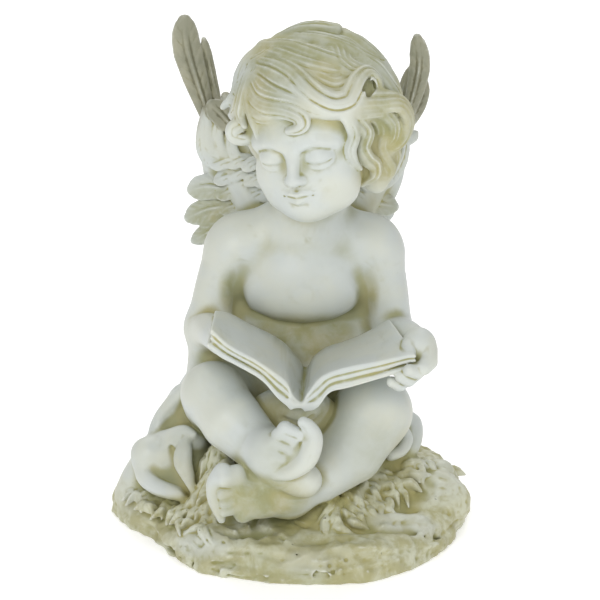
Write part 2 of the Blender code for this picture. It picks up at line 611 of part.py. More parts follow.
def drapery(clay):
    """Cloth spread under the figure: deep folds on the -X side, a lobe by the +X knee, a skirt of folds
    behind."""
    # the mass of the cloth on the -X side
    clay.ball((-52, 22, 52), (26, 28, 40), blend=8)
    clay.ball((-66, 12, 26), (28, 26, 26), blend=8)
    clay.ball((-70, -15, 36), (23, 20, 28), blend=6)
    clay.ball((-63, -25, 30), (15, 19, 16), blend=6)
    # the sheet that falls from the thigh: a rolled outer edge, a shallow hollow, and a hem
    clay.ball((-67, -2, 66), (14, 10, 20), turn(20, -20, 0), blend=6)
    clay.rope([
        (-65, -8, 86, 5), (-75, -7, 76, 5), (-83, -7, 65, 5), (-86, -10, 55, 5.5), (-82, -14, 53, 5)
    ], blend=4)
    clay.rope([(-81, -20, 57, 2.6), (-75, -23, 62, 3), (-67, -26, 65, 3), (-61, -30, 64, 2)], blend=8)
    clay.ball((-67, -22, 56), (14, 11, 10), blend=4)
    clay.groove([(-64, -20, 85), (-70, -16, 75), (-76, -16, 66)], 6, 2.5)
    # the outer fold: a rounded mound whose edge turns under and runs on along the ground, with a hollow
    # inside
    clay.rope([
        (-88, -12, 47, 7.5), (-92, -13, 37, 10.5), (-97, -14, 25, 12.5), (-102, -12, 14, 12)
    ], blend=4)
    clay.ball((-90, -22, 47), (12, 11, 11), blend=5)
    clay.rope([(-94, -26, 42, 6), (-92, -33, 36, 6), (-85, -39, 32, 5.5), (-77, -44, 31, 5)], blend=5)
    clay.ball((-79, -25, 41), (12, 9.5, 13), blend=4)
    # a narrow fold beside the leg, parted from the hollow by a deep valley
    clay.blade(smooth_path([
        (-65, -30, 60, 2, 3), (-67, -36, 56, 5.5, 3.6), (-68, -40, 49, 6.5, 4), (-65, -44, 42, 5, 4),
        (-62, -48, 35, 2.5, 3)
    ], 16), unit(vec(-0.35, -1, 0.3)), 2.5)
    valleys = (
        ([(-75, -29, 55), (-74, -35, 51), (-73, -39, 45), (-70, -44, 39), (-66, -48, 33)], 1.8, 3.2),
        ([(-60, -36, 61), (-60, -43, 54), (-59, -47, 46), (-57, -52, 38)], 1.5, 3.0),
    )
    for rows, width, depth in valleys:
        clay.groove(rows, width, depth)
    # the lobe beside the +X knee, folded over once
    clay.rope([
        (68, -4, 58, 8), (76, 2, 57, 8.5), (76, -4, 50, 9), (72, -12, 44, 8.5), (65, -16, 41, 7)
    ], blend=5)
    clay.rope([
        (68, -14, 64, 4), (72, -14, 60, 4), (74, -17, 54, 4.4), (70, -23, 49, 4.2), (64, -27, 48, 3.6)
    ], blend=2.5)
    clay.groove([(76, -12, 65), (79, -13, 55), (76, -19, 48), (69, -25, 45)], 1.6, 3.0)
    clay.ball((60, 6, 30), (18, 22, 16), blend=6)
    # cloth fills the space under the crossed legs and the lap
    clay.ball((34, -14, 34), (34, 28, 16), blend=6)
    clay.ball((4, -18, 58), (34, 28, 24), blend=6)
    clay.ball((46, 18, 34), (30, 30, 28), blend=8)
    clay.ball((6, 34, 50), (54, 42, 40), blend=8)
    # cloth wrapped round the seat behind, in a few loose folds
    clay.ball((2, 36, 34), (66, 52, 46), blend=8)
    rng = np.random.default_rng(21)
    for k in range(8):
        a = math.radians(14 + 22 * k + rng.uniform(-5, 5))
        sway = rng.uniform(-0.14, 0.14)
        loose = rng.uniform(0.8, 1.25)
        fold = []
        for middle, (long, deep), height, thick, swayed in SKIRT:
            turned = a + swayed * sway
            fold.append((
                2 + long * math.cos(turned), middle + deep * math.sin(turned), height, thick * loose
            ))
        clay.rope(fold, blend=8)
    hem = [
        (4 + 40 * math.cos(a), 24 + 33 * math.sin(a), 90 + 3 * math.sin(3 * a), 4.5)
        for a in np.radians(np.arange(-10, 191, 12))
    ]
    clay.tube(hem, blend=5)
    # cloth in the lap under the book
    clay.ball((1, -40, 83), (28, 16, 17), blend=7)
    clay.rope([
        (-9, -48, 90, 3), (-3, -54, 90, 4.6), (5, -57, 90, 5), (12, -56, 91, 4.6), (18, -50, 93, 3)
    ], blend=7)
    clay.groove([(-4, -59, 87), (2, -61, 85), (8, -61, 85), (13, -59, 89)], 1.8, 2.4)


def head(clay):
    def at(*p):
        return HEAD + HEAD_TURN @ vec(*p)

    def ball(c, r, blend=5.0, cut=False):
        clay.ball(at(*c), r, HEAD_TURN, blend, cut)

    def tube(rows, blend=2.0):
        clay.tube([(*at(*row[:3]), row[3]) for row in rows], blend)

    def stroke(rows, width, depth):
        clay.stroke([at(*row) for row in rows], width, depth)

    ball((0, 7, 10), (40, 44, 39), 0)
    ball((0, -12, 14), (33, 30, 27), 8)
    ball((0, -12, -12), (32, 30, 29), 9)
    for s in (-1, 1):
        ball((16 * s, -25, -17), (15, 14, 14), 9)
        ball((14 * s, -20, -28), (13, 13, 11), 9)
    ball((0, -33, -24), (13, 11, 11), 9)
    ball((0, -22, -31), (25, 17, 12), 9)
    ball((0, -32, -35), (11.5, 10, 8), 10)
    for s in (-1, 1):
        tube([(7 * s, -40, 6, 2.6), (16 * s, -38.5, 8.5, 2.6), (25 * s, -31, 6, 2.6)], 8)
        ball((14.2 * s, -45, -1), (9.5, 5.5, 6), 7, cut=True)
        eye = (14.2 * s, -33.2, -1.6)
        ball(eye, (8.4, 8.2, 8.2), 2.0)
        # lowered lids: the upper one ends below the middle, the lower one rises to meet it at the corners
        for droop, side in ((9, 1), (33, -1)):
            a = math.radians(droop)
            down = HEAD_TURN @ vec(0, side * math.sin(a), -side * math.cos(a))
            clay.ball(at(*eye), (9.8, 9.3, 8.8), HEAD_TURN, 1.2, edge=(at(*eye), down))
    tube([(0, -39, 6, 3.4), (0, -42.5, -3, 3.3), (0, -46, -10, 3.5)], 4)
    ball((0, -46.4, -12.4), (4.3, 4.2, 3.8), 2.5)
    for s in (-1, 1):
        ball((4.3 * s, -43.6, -13.4), (2.7, 3.4, 2.5), 2)
    tube([
        (-8.8, -41.6, -22.6, 1.2), (-3.8, -44.6, -21.3, 1.9), (0, -45.4, -21.9, 1.8),
        (3.8, -44.6, -21.3, 1.9), (8.8, -41.6, -22.6, 1.2)
    ], 2)
    tube([(-6.6, -42.4, -24.6, 1.3), (0, -44.6, -25.8, 2.5), (6.6, -42.4, -24.6, 1.3)], 2)


def on_cap(lon, lat, lift):
    a, b = math.radians(lon), math.radians(lat)
    d = vec(math.sin(a) * math.cos(b), -math.cos(a) * math.cos(b), math.sin(b))
    radius = 1 / math.sqrt(float(np.sum((d / CAP_RADII) ** 2)))
    return HEAD + HEAD_TURN @ (CAP + d * (radius + lift)), HEAD_TURN @ d


def lock(clay, rows, width, thick, tip=0.25, lean=0.0):
    """A wavy lock of hair through rows of longitude, latitude and lift on the head. lean tips it about its
    run, so that one edge stands over its neighbour."""
    found = [on_cap(*row[:3]) for row in rows]
    ribbon(clay, np.array([(*p, *d) for p, d in found], np.float32), width, thick, tip, lean=lean)


def curl(clay, rows, centre, width, thick, tip=0.25):
    """A lock that leaves the head and winds round a centre."""
    line = [(*row, *(vec(*row) - vec(*centre))) for row in rows]
    ribbon(clay, np.array(line, np.float32), width, thick, tip)


def ribbon(clay, line, width, thick, tip, root=0.75, lean=0.0):
    """A blade through rows of x, y, z and the way out of the head."""
    line = smooth_path(line, 5 * len(line))
    t = np.linspace(0, 1, len(line))
    swell = np.interp(t, (0, 0.3, 0.7, 1), (root, 1, 0.9, tip))
    path = np.column_stack([line[:, :3], swell * width, (0.4 + 0.6 * swell) * thick])
    along = np.gradient(path[:, :3], axis=0)
    along /= np.linalg.norm(along, axis=1, keepdims=True)
    out = line[:, 3:6] / np.linalg.norm(line[:, 3:6], axis=1, keepdims=True)
    out = out + math.tan(math.radians(lean)) * np.cross(along, out)
    out /= np.linalg.norm(out, axis=1, keepdims=True)
    clay.blade(path, out, 1.6)


def hair(clay):
    clay.ball(HEAD + HEAD_TURN @ CAP, CAP_RADII, HEAD_TURN, 3)
    front = [
        # crest over the crown
        ([(-102, 59, 3.6), (-125, 67, 4.2), (-159, 78, 6), (150, 74, 6.5), (132, 65, 6.5)], 6, 4.5, 0, 0.7),
        # sweeps from the parting on the left over to the pinch on the right
        ([
            (-116, 64, 4.1), (-171, 87, 2), (87, 72, 2.5), (89, 57, 2.5), (92, 44, 2.5), (103, 31, 3)
        ], 8, 4.4, 0, 0.3),
        ([
            (-98, 57, 6.2), (-61, 75, 2.5), (21, 70, 3), (48, 59, 3), (62, 49, 2.5), (69, 41, 1.5)
        ], 7, 4, -10, 0.3),
        ([
            (-93, 53, 3.3), (-27, 66, 3), (11, 60, 3), (32, 52, 2.5), (48, 45, 2), (63, 41, 1)
        ], 7.5, 4, -8, 0.3),
        # the broad wave that rolls down over the brow and rises into a loop
        ([
            (-88, 47, 2.9), (-20, 55, 4), (5, 47, 5), (18, 36, 5.5), (27, 28, 5.5), (36, 22, 5.5),
            (46, 21, 5.5), (53, 25, 6), (61, 30, 7), (71, 32, 7.5), (75, 26, 7.5), (74, 18, 6)
        ], 8.5, 5, -8, 0.42),
        ([(9, 56, 0), (23, 45, 1), (32, 37, 1.5), (42, 32, 1.5), (53, 33, 1.5), (68, 38, 1)], 9, 4, 0, 0.4),
        ([
            (-45, 46, 1), (-11, 40, 4), (7, 34, 4.5), (18, 28, 4.5), (29, 21, 4), (40, 15, 3), (50, 10, 3)
        ], 7.5, 4.5, 8, 0.3),
        # swoop over the brow on the left, ending in a curl
        ([
            (-47, 40, 1), (-22, 33, 4), (-6, 29, 5), (7, 26, 5), (17, 21, 4.5), (26, 17, 3)
        ], 6.5, 4, 10, 0.3),
        ([
            (-49, 36, 1), (-28, 28, 3), (-14, 24, 4.5), (1, 23, 5.5), (11, 19, 6), (13, 14, 6),
            (9, 11, 5.5), (3, 10, 5)
        ], 5.5, 3.8, 0, 0.45),
        ([(-46, 32, 1), (-31, 23, 2.5), (-21, 19, 3.5), (-11, 19, 4), (-2, 19, 4)], 4.4, 3, 0, 0.4),
        # hanging strands at the far left
        ([
            (-96, 55, 5.6), (-85, 45, 6.1), (-78, 34, 5.5), (-68, 25, 4.5), (-68, 14, 10.6)
        ], 6.5, 4.5, 0, 0.2),
        ([(-89, 49, 2.8), (-63, 40, 3), (-49, 29, 4), (-48, 19, 5), (-66, 9, 5.7)], 5.4, 4, 0, 0.25),
        ([(-67, 46, 1), (-47, 34, 3), (-42, 24, 4), (-42, 16, 4), (-36, 10, 4)], 5.2, 4, 0, 0.25),
        ([(-52, 41, 1), (-40, 31, 2.5), (-32, 22, 3), (-27, 13, 2.5), (-25, 5, 2)], 4.4, 3.4, 0, 0.3),
        # the long lock to the right, and the thin one under its edge
        ([(30, 19, 1), (41, 14, 3.5), (53, 9, 5), (66, 6, 7), (79, 1, 8)], 3.0, 3, 0, 0.6),
        # behind them
        ([(146, 54, 3.8), (122, 49, 3.5), (111, 40, 4), (110, 30, 5)], 7.5, 4.5, 0, 0.3),
        ([(89, 44, 2), (90, 32, 4), (89, 19, 5), (94, 6, 5), (109, -9, 6.3)], 8.5, 4.5, 0, 0.5),
    ]
    for rows, width, thick, lean, tip in front:
        lock(clay, rows, width, thick, tip, lean)
    # the long lock to the right leaves the head, turns over and rolls in again, with a hollow inside the
    # roll
    middle = (59, -30, 266)
    on_head = ((36, 20, 2), (47, 18, 4.5), (59, 16, 6), (70, 13, 7.5))
    in_air = (
        (64, -36, 282), (69, -32, 276), (71, -29, 269), (70, -28, 261), (66, -28, 254), (59, -27, 249)
    )
    line = [np.concatenate(on_cap(*row)) for row in on_head]
    for row in in_air:
        line.append(np.concatenate([vec(*row), unit(vec(*row) - vec(*middle) + vec(0, -6, 0))]))
    ribbon(clay, np.array(line), 7.5, 4.0, 0.4, root=0.8)
    clay.ball((58, -15, 257), (10, 10, 17), blend=4)
    curl(clay, [
        (50, -42, 279), (57, -38, 275), (62, -34, 268), (62, -31, 259), (58, -30, 253)
    ], (54, -10, 258), 4.6, 3.4, 0.5)
    # a short curl before the ear on the -X side
    curl(clay, [
        (-26, -24, 273), (-28, -26, 267), (-34, -25, 263), (-34, -24, 258), (-28, -25, 256), (-23, -27, 259)
    ], (-28, 0, 255), 5.0, 3.6, 0.6)
    # the dark eye of the loop
    hole, _ = on_cap(67, 24, 5)
    clay.ball(hole, (4.2, 9, 6.5), HEAD_TURN, 1.0, cut=True)
    # ringlets beside the right cheek, and the mass they lie on
    clay.ball((49, -21, 247), (12, 13, 27), HEAD_TURN, blend=5)
    falls = [
        ([
            (32, -54, 278), (35, -53, 274), (38, -51, 266), (36, -51, 257), (38, -49, 250), (42, -45, 244)
        ], 4.0, 3.2),
        ([
            (35, -52, 279), (40, -49, 274), (45, -45, 266), (43, -44, 257), (46, -41, 249), (51, -36, 243),
            (51, -32, 235), (44, -28, 229)
        ], 5.4, 3.8),
        ([
            (45, -43, 278), (52, -37, 272), (56, -32, 263), (55, -31, 253), (58, -28, 245), (61, -25, 238),
            (58, -21, 230), (49, -17, 223)
        ], 5.8, 3.8),
        ([(62, -22, 251), (64, -20, 244), (62, -18, 236), (60, -14, 228)], 4.6, 3.2),
    ]
    for rows, width, thick in falls:
        curl(clay, rows, (42, 0, 242), width, thick, 0.35)
    rng = np.random.default_rng(9)
    # tiers of wavy locks over the sides and back, all swept the same way and curling up at the ends
    tiers = (
        (74, 44, 8, 66, 298), (48, 40, 12, 66, 298), (22, 38, 11, 90, 264), (-4, 34, 10, 98, 258),
        (-24, 26, 8, 104, 252)
    )
    for tier, (top, drop, count, first, last) in enumerate(tiers):
        for k in range(count):
            lon = first + (last - first) * (k + 0.5 * (tier % 2)) / (count - 0.5)
            wave = rng.uniform(6, 10)
            drop_k = drop * rng.uniform(0.9, 1.1)
            rows = [
                (lon - 6, top, 0.0), (lon + wave, top - 0.3 * drop_k, 1.5),
                (lon - 0.4 * wave, top - 0.62 * drop_k, 2), (lon + 0.8 * wave, top - 0.95 * drop_k, 2.5),
                (lon + 2.2 * wave, top - drop_k, 3), (lon + 2.4 * wave, top - 0.82 * drop_k, 2.5)
            ]
            lock(clay, rows, rng.uniform(6.0, 7.5), 5.8, 0.35)


def feather(clay, points, width, facing=(0, -1, 0.35), thick=3.0):
    """One feather through points from root to tip, a rounded blade."""
    path = smooth_path(points, 16)
    t = np.linspace(0, 1, len(path))
    swell = np.interp(t, (0, 0.25, 0.55, 0.8, 0.93, 1), (0.55, 0.85, 1, 0.93, 0.7, 0.4))
    path = np.column_stack([path, swell * width, (1 - 0.35 * t) * thick])
    clay.blade(path, unit(facing), 0.8)


def wings(clay):
    # the arms of the wings
    clay.tube([(-8, 30, 168, 10), (-26, 42, 196, 11), (-42, 52, 222, 10), (-50, 53, 244, 7)], blend=6)
    clay.tube([(24, 30, 168, 10), (46, 42, 196, 11), (60, 52, 222, 10), (66, 53, 244, 7)], blend=6)
    clay.ball((-38, 53, 212), (18, 7, 32), turn(0, 0, -14), blend=5)
    clay.ball((56, 53, 212), (17, 7, 32), turn(0, 0, 12), blend=5)
    # -X wing: two flight feathers, a broken quill plate before them
    feather(clay, [(-53, 52, 250), (-62, 56, 278), (-66, 59, 294), (-67, 61, 311)], 9.6, (0.2, -1, 0.3))
    feather(clay, [(-46, 57, 254), (-51, 61, 274), (-55, 64, 296)], 4.2, (0.5, -1, 0.3))
    feather(clay, [(-35, 40, 243), (-43, 42, 252), (-51, 44, 260)], 7.5)
    clay.ball((-41, 48, 263), 3.2, blend=2)
    clay.ball((-41, 52, 232), (17, 8, 27), blend=3)
    clay.ball((-26, 50, 231), (14, 8, 21), blend=4)
    # its long coverts, hanging down the outer edge, each over the next one inwards
    out = (-0.55, -1, 0.3)
    feather(clay, [(-37, 43, 245), (-39, 42, 233), (-37, 41, 225), (-32, 40, 218)], 6.6, out)
    feather(clay, [(-45, 44, 251), (-48, 43, 237), (-46, 42, 226), (-40, 41, 216)], 7.0, out)
    feather(clay, [(-53, 46, 255), (-55, 44, 239), (-54, 43, 228), (-48, 42, 218)], 6.6, out)
    feather(clay, [(-38, 42, 202), (-52, 45, 204), (-65, 48, 201)], 8.8)
    feather(clay, [(-38, 42, 192), (-53, 44, 189), (-67, 47, 182)], 8.2)
    feather(clay, [(-36, 38, 183), (-49, 40, 177), (-63, 43, 168)], 6.6)
    # +X wing
    feather(clay, [(71, 57, 249), (72, 61, 262), (76, 64, 277)], 4.0, (-0.5, -1, 0.3))
    feather(clay, [(73, 52, 240), (81, 57, 254), (86, 62, 269)], 5.4)
    feather(clay, [(75, 50, 251), (80, 54, 269), (82, 57, 283), (80, 60, 299)], 7.0, (-0.2, -1, 0.3))
    feather(clay, [(67, 44, 233), (75, 46, 236), (80, 48, 239)], 4.6)
    feather(clay, [(63, 43, 242), (63, 42, 230), (58, 41, 218), (52, 40, 208)], 6.2, (0.55, -1, 0.3))
    feather(clay, [(71, 45, 244), (71, 44, 229), (67, 43, 217), (59, 42, 204)], 6.4, (0.55, -1, 0.3))
    feather(clay, [(44, 40, 195), (57, 43, 193), (68, 46, 190)], 7.4)
    # the backs of the wings: plainer coverts in rows
    for side, x0 in ((-1, -38), (1, 56)):
        for row in range(3):
            for k in range(2):
                x = x0 + side * (7 - 13 * k - 2.5 * row)
                z = 242 - 20 * row - 4 * k
                feather(clay, [
                    (x, 56, z), (x + 2 * side, 60, z - 14), (x + 4 * side, 61, z - 27)
                ], 8.5, (0, 1, 0.1), thick=4.5)


GROUPS = (
    (base, grass),
    (drapery,),
    (legs, foot_up, foot_down, torso, arms, hand),
    (book,),
    (wings,),
    (head,),
    (hair,),
)


def fill_pinches(field):
    """Fills the few grid corners where two parts of the surface would meet in a point or a line."""
    for _ in range(30):
        inside = field < 0
        fill = np.zeros(field.shape, bool)
        for u, v in ((0, 1), (0, 2), (1, 2)):
            def corner(i, j):
                where = [slice(None)] * 3
                where[u] = slice(i, i - 1 or None)
                where[v] = slice(j, j - 1 or None)
                return tuple(where)

            a, b, c, d = (inside[corner(i, j)] for i, j in ((0, 0), (1, 0), (0, 1), (1, 1)))
            fill[corner(1, 0)] |= a & d & ~b & ~c
            fill[corner(0, 0)] |= b & c & ~a & ~d
        if not fill.any():
            break
        field[fill] = -0.2
    return field


def statue():
    """Every group is modelled on its own and joined to the rest with a tight crease, as a carver would keep
    them."""
    whole = np.full(Clay(LOW_CORNER, HIGH_CORNER, VOXEL_MM).size, FAR, np.float32)
    for group in GROUPS:
        clay = Clay(LOW_CORNER, HIGH_CORNER, VOXEL_MM)
        for carve in group:
            carve(clay)
        whole = soft_min(whole, clay.field, JOINT)
    clay.field = whole
    floor_cut(clay)
    fill_pinches(clay.field)
    return largest_body(*skin(clay))


def arrays_of(mesh):
    vertices = np.empty(3 * len(mesh.vertices), np.float32)
    mesh.vertices.foreach_get("co", vertices)
    triangles = np.empty(3 * len(mesh.polygons), np.int32)
    mesh.polygons.foreach_get("vertices", triangles)
    return vertices.reshape(-1, 3), triangles.reshape(-1, 3)


def stone():
    material = bpy.data.materials.new("cast_stone")
    material.use_nodes = True
    shader = material.node_tree.nodes["Principled BSDF"]
    shader.inputs["Base Color"].default_value = STONE_COLOUR
    shader.inputs["Roughness"].default_value = STONE_ROUGHNESS
    return material


def build():
    for old in list(bpy.data.objects):
        bpy.data.objects.remove(old)
    vertices, quads = statue()
    mesh = bpy.data.meshes.new("cherub_statue")
    mesh.from_pydata((vertices * MM).tolist(), [], quads.tolist())
    piece = bpy.data.objects.new("cherub_statue", mesh)
    bpy.context.scene.collection.objects.link(piece)
    triangulate = piece.modifiers.new("Triangles", "TRIANGULATE")
    reduce = piece.modifiers.new("Reduce", "DECIMATE")
    reduce.ratio = TRIANGLES / (2 * len(quads))
    bpy.context.view_layer.objects.active = piece
    piece.select_set(True)
    bpy.ops.object.modifier_apply(modifier=triangulate.name)
    bpy.ops.object.modifier_apply(modifier=reduce.name)
    vertices, triangles = largest_body(*arrays_of(mesh))
    vertices[:, 2][vertices[:, 2] < UNDERSIDE * MM] = 0
    mesh.clear_geometry()
    mesh.from_pydata(vertices.tolist(), [], triangles.tolist())
    mesh.materials.append(stone())


build()
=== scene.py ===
"""The looks of the stone cherub: the casting carved again with its fine relief, its patina and painted shade,
and a pale studio."""
import math

import bpy
import numpy as np
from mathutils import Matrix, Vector


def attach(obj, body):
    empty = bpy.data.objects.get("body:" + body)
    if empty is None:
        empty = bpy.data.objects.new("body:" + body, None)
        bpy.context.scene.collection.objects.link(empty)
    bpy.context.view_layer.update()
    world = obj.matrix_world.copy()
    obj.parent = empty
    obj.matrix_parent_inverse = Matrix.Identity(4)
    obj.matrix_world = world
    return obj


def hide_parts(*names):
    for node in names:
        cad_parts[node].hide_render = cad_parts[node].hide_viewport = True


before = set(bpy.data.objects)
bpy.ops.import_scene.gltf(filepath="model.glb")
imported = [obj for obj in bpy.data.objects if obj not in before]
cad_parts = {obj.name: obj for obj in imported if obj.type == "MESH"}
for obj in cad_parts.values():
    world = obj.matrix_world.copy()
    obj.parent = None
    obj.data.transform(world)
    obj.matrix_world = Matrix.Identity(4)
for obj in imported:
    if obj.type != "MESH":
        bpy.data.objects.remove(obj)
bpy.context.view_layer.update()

# places and sizes are in millimetres, X to the viewer's right, Y away from the viewer and Z up
MM = 0.001
NODE = "cherub_statue"
VOXEL_MM = 0.64
TRIANGLES = 195_000
LOW_CORNER = (-123, -123, -3)
HIGH_CORNER = (123, 113, 330)

# the value of the field where nothing is near
FAR = 30.0


def vec(*values):
    return np.array(values, np.float32)


def unit(v):
    v = np.asarray(v, np.float32)
    return v / np.linalg.norm(v)


def units(rows):
    """Rows of length 1."""
    return rows / np.linalg.norm(rows, axis=1, keepdims=True)


def turn(yaw=0.0, pitch=0.0, roll=0.0):
    """Rotation from a part's own axes to the statue's: roll about Y, then pitch about X, then yaw about Z,
    in degrees."""
    y, p, r = (math.radians(a) for a in (yaw, pitch, roll))
    about_z = np.array([[math.cos(y), -math.sin(y), 0], [math.sin(y), math.cos(y), 0], [0, 0, 1]])
    about_x = np.array([[1, 0, 0], [0, math.cos(p), -math.sin(p)], [0, math.sin(p), math.cos(p)]])
    about_y = np.array([[math.cos(r), 0, math.sin(r)], [0, 1, 0], [-math.sin(r), 0, math.cos(r)]])
    return (about_z @ about_x @ about_y).astype(np.float32)


def soft_min(a, b, blend):
    """The smaller of two distances, rounded where they differ by less than blend."""
    if blend <= 0:
        return np.minimum(a, b)
    near = np.maximum(blend - np.abs(a - b), 0)
    return np.minimum(a, b) - near * near * (0.25 / blend)


def smooth_path(points, count):
    """count points on a Catmull-Rom curve through the given rows, which may carry widths after x, y, z."""
    p = np.asarray(points, np.float32)
    p = np.vstack([2 * p[0] - p[1], p, 2 * p[-1] - p[-2]])
    t = np.linspace(0, len(p) - 3 - 1e-4, count)
    i = t.astype(int)
    f = (t - i)[:, None].astype(np.float32)
    a, b, c, d = p[i], p[i + 1], p[i + 2], p[i + 3]
    return b + 0.5 * f * (c - a + f * (2 * a - 5 * b + 4 * c - d + f * (3 * (b - c) + d - a)))


def foot(v, square, place):
    """How far along the run v each place lies, from 0 to 1, and its offsets from there. square is the run's
    length squared."""
    x, y, z = place
    t = np.clip((x * v[0] + y * v[1] + z * v[2]) / square, 0, 1)
    return t, (x - t * v[0], y - t * v[1], z - t * v[2])


class Clay:
    """A grid of distances in millimetres to the surface, below zero inside, that shapes are blended into."""

    def __init__(self, low, high, step):
        self.low = np.array(low, np.float32)
        self.step = float(step)
        self.size = np.ceil((np.array(high) - self.low) / step).astype(int) + 1
        self.field = np.full(self.size, FAR, np.float32)

    def window(self, low, high):
        """Slices of the grid between two corners, and the coordinates of its planes."""
        first = np.clip(np.floor((np.asarray(low) - self.low) / self.step).astype(int), 0, self.size - 1)
        last = np.clip(np.ceil((np.asarray(high) - self.low) / self.step).astype(int) + 1, 1, self.size)
        axes = np.ix_(*(
            start + self.step * np.arange(a, b, dtype=np.float32)
            for start, a, b in zip(self.low, first, last)
        ))
        return tuple(slice(a, b) for a, b in zip(first, last)), axes

    def around(self, path, reach, value=FAR):
        """Slices round a whole path, and a block of that size filled with one value."""
        where, _ = self.window(path[:, :3].min(0) - reach, path[:, :3].max(0) + reach)
        return where, np.full([s.stop - s.start for s in where], value, np.float32)

    def stretches(self, path, reaches, where):
        """Each stretch of a path in turn: its slices within where, its run, and the coordinates of its cells
        from its start."""
        for a, b, reach in zip(path[:-1, :3], path[1:, :3], reaches):
            near, (x, y, z) = self.window(np.minimum(a, b) - reach, np.maximum(a, b) + reach)
            local = tuple(slice(n.start - w.start, n.stop - w.start) for n, w in zip(near, where))
            yield local, b - a, (x - a[0], y - a[1], z - a[2])

    def blend_in(self, where, distance, blend, cut=False):
        old = self.field[where]
        self.field[where] = -soft_min(-old, distance, blend) if cut else soft_min(old, distance, blend)

    def ball(self, centre, radii, axes=None, blend=4.0, cut=False, edge=None):
        """An ellipsoid with the three radii along the columns of axes. edge is a point and an outward
        normal that trim it."""
        centre = np.asarray(centre, np.float32)
        radii = np.broadcast_to(np.asarray(radii, np.float32), 3)
        axes = np.eye(3, dtype=np.float32) if axes is None else axes
        reach = np.sqrt(((axes * radii) ** 2).sum(1)) + blend + self.step
        where, (x, y, z) = self.window(centre - reach, centre + reach)
        x, y, z = x - centre[0], y - centre[1], z - centre[2]
        inner = outer = 0
        for axis, r in zip(axes.T, radii):
            q = x * axis[0] + y * axis[1] + z * axis[2]
            inner = inner + (q / r) ** 2
            outer = outer + (q / (r * r)) ** 2
        inner = np.sqrt(inner)
        distance = inner * (inner - 1) / np.maximum(np.sqrt(outer), 1e-6)
        if edge is not None:
            (px, py, pz), (nx, ny, nz) = edge[0] - centre, edge[1]
            distance = -soft_min(-distance, -((x - px) * nx + (y - py) * ny + (z - pz) * nz), 0.5)
        self.blend_in(where, distance, blend, cut)

    def tube(self, path, blend=4.0):
        """Round stretches through rows of x, y, z, radius."""
        path = np.asarray(path, np.float32)
        radius = path[:, 3]
        reaches = np.maximum(radius[:-1], radius[1:]) + blend + self.step
        where, best = self.around(path, reaches.max())
        for i, (local, v, place) in enumerate(self.stretches(path, reaches, where)):
            t, (x, y, z) = foot(v, max(float(v @ v), 1e-6), place)
            distance = np.sqrt(x * x + y * y + z * z) - radius[i] - t * (radius[i + 1] - radius[i])
            best[local] = np.minimum(best[local], distance)
        self.blend_in(where, best, blend)

    def stroke(self, path, width, depth):
        """Presses a soft groove along rows of x, y, z into the surface, or with a negative depth raises a
        ridge."""
        path = np.asarray(path, np.float32)
        reach = 2.2 * width + abs(depth)
        where, best = self.around(path, reach, FAR * FAR)
        for local, v, place in self.stretches(path, [reach] * len(path), where):
            _, (x, y, z) = foot(v, max(float(v @ v), 1e-6), place)
            best[local] = np.minimum(best[local], x * x + y * y + z * z)
        self.field[where] += depth * np.exp(-best / (width * width))

    def rope(self, rows, blend=4.0):
        """A tube along a smooth curve through rows of x, y, z, radius."""
        self.tube(smooth_path(rows, 3 * len(rows)), blend)

    def groove(self, rows, width, depth):
        """A stroke along a smooth curve through rows of x, y, z."""
        self.stroke(smooth_path(rows, 3 * len(rows)), width, depth)

    def blade(self, path, out, blend=1.0, relief=None):
        """A flat or oval strip through rows of x, y, z, half width, half thickness. out gives the way its
        face looks, one row for each point. relief(across, along, length, up) adds to the distance, with
        across and up from -1 to 1 over its width and thickness."""
        path = np.asarray(path, np.float32)
        out = np.broadcast_to(np.asarray(out, np.float32), (len(path), 3))
        ahead = units(np.gradient(path[:, :3], axis=0))
        side = units(np.cross(ahead, out))
        face = np.cross(side, ahead)
        start = np.concatenate([[0], np.cumsum(np.linalg.norm(np.diff(path[:, :3], axis=0), axis=1))])
        widest = path[:, 3:5].max(1)
        reaches = np.maximum(widest[:-1], widest[1:]) + blend + self.step
        where, best = self.around(path, reaches.max())
        carved = best.copy()
        for i, (local, v, place) in enumerate(self.stretches(path, reaches, where)):
            long = float(np.linalg.norm(v))
            t, (x, y, z) = foot(v, long * long, place)
            wide, thick = (path[i, k] + t * (path[i + 1, k] - path[i, k]) for k in (3, 4))
            across, up, past = (
                (x * (a0 + t * b0) + y * (a1 + t * b1) + z * (a2 + t * b2)) / span
                for (a0, a1, a2), (b0, b1, b2), span in (
                    (side[i], side[i + 1] - side[i], wide),
                    (face[i], face[i + 1] - face[i], thick),
                    (ahead[i], ahead[i + 1] - ahead[i], thick),
                )
            )
            rho = np.sqrt(across**2 + up**2 + past**2)
            slope = np.sqrt((across / wide) ** 2 + (up / thick) ** 2 + (past / thick) ** 2)
            distance = rho * (rho - 1) / np.maximum(slope, 1e-6)
            closer = distance < best[local]
            best[local] = np.where(closer, distance, best[local])
            if relief is not None:
                distance = distance + relief(across, start[i] + t * long, start[-1], up)
            carved[local] = np.where(closer, distance, carved[local])
        self.blend_in(where, carved, blend)


def lattice_noise(x, y, z, cell, seed):
    """Smooth noise from -1 to 1 with features about one cell across."""
    table = np.random.default_rng(seed).uniform(-1, 1, (16, 16, 16)).astype(np.float32)
    sides = []
    for q in (x, y, z):
        q = q / cell + 1000.0
        i = np.floor(q).astype(np.int32)
        f = (q - i).astype(np.float32)
        share = f * f * (3 - 2 * f)
        sides.append(((i & 15, 1 - share), ((i + 1) & 15, share)))
    found = 0
    for corner in np.ndindex(2, 2, 2):
        (xi, wx), (yi, wy), (zi, wz) = (side[k] for side, k in zip(sides, corner))
        found = found + table[xi, yi, zi] * (wx * wy * wz)
    return found


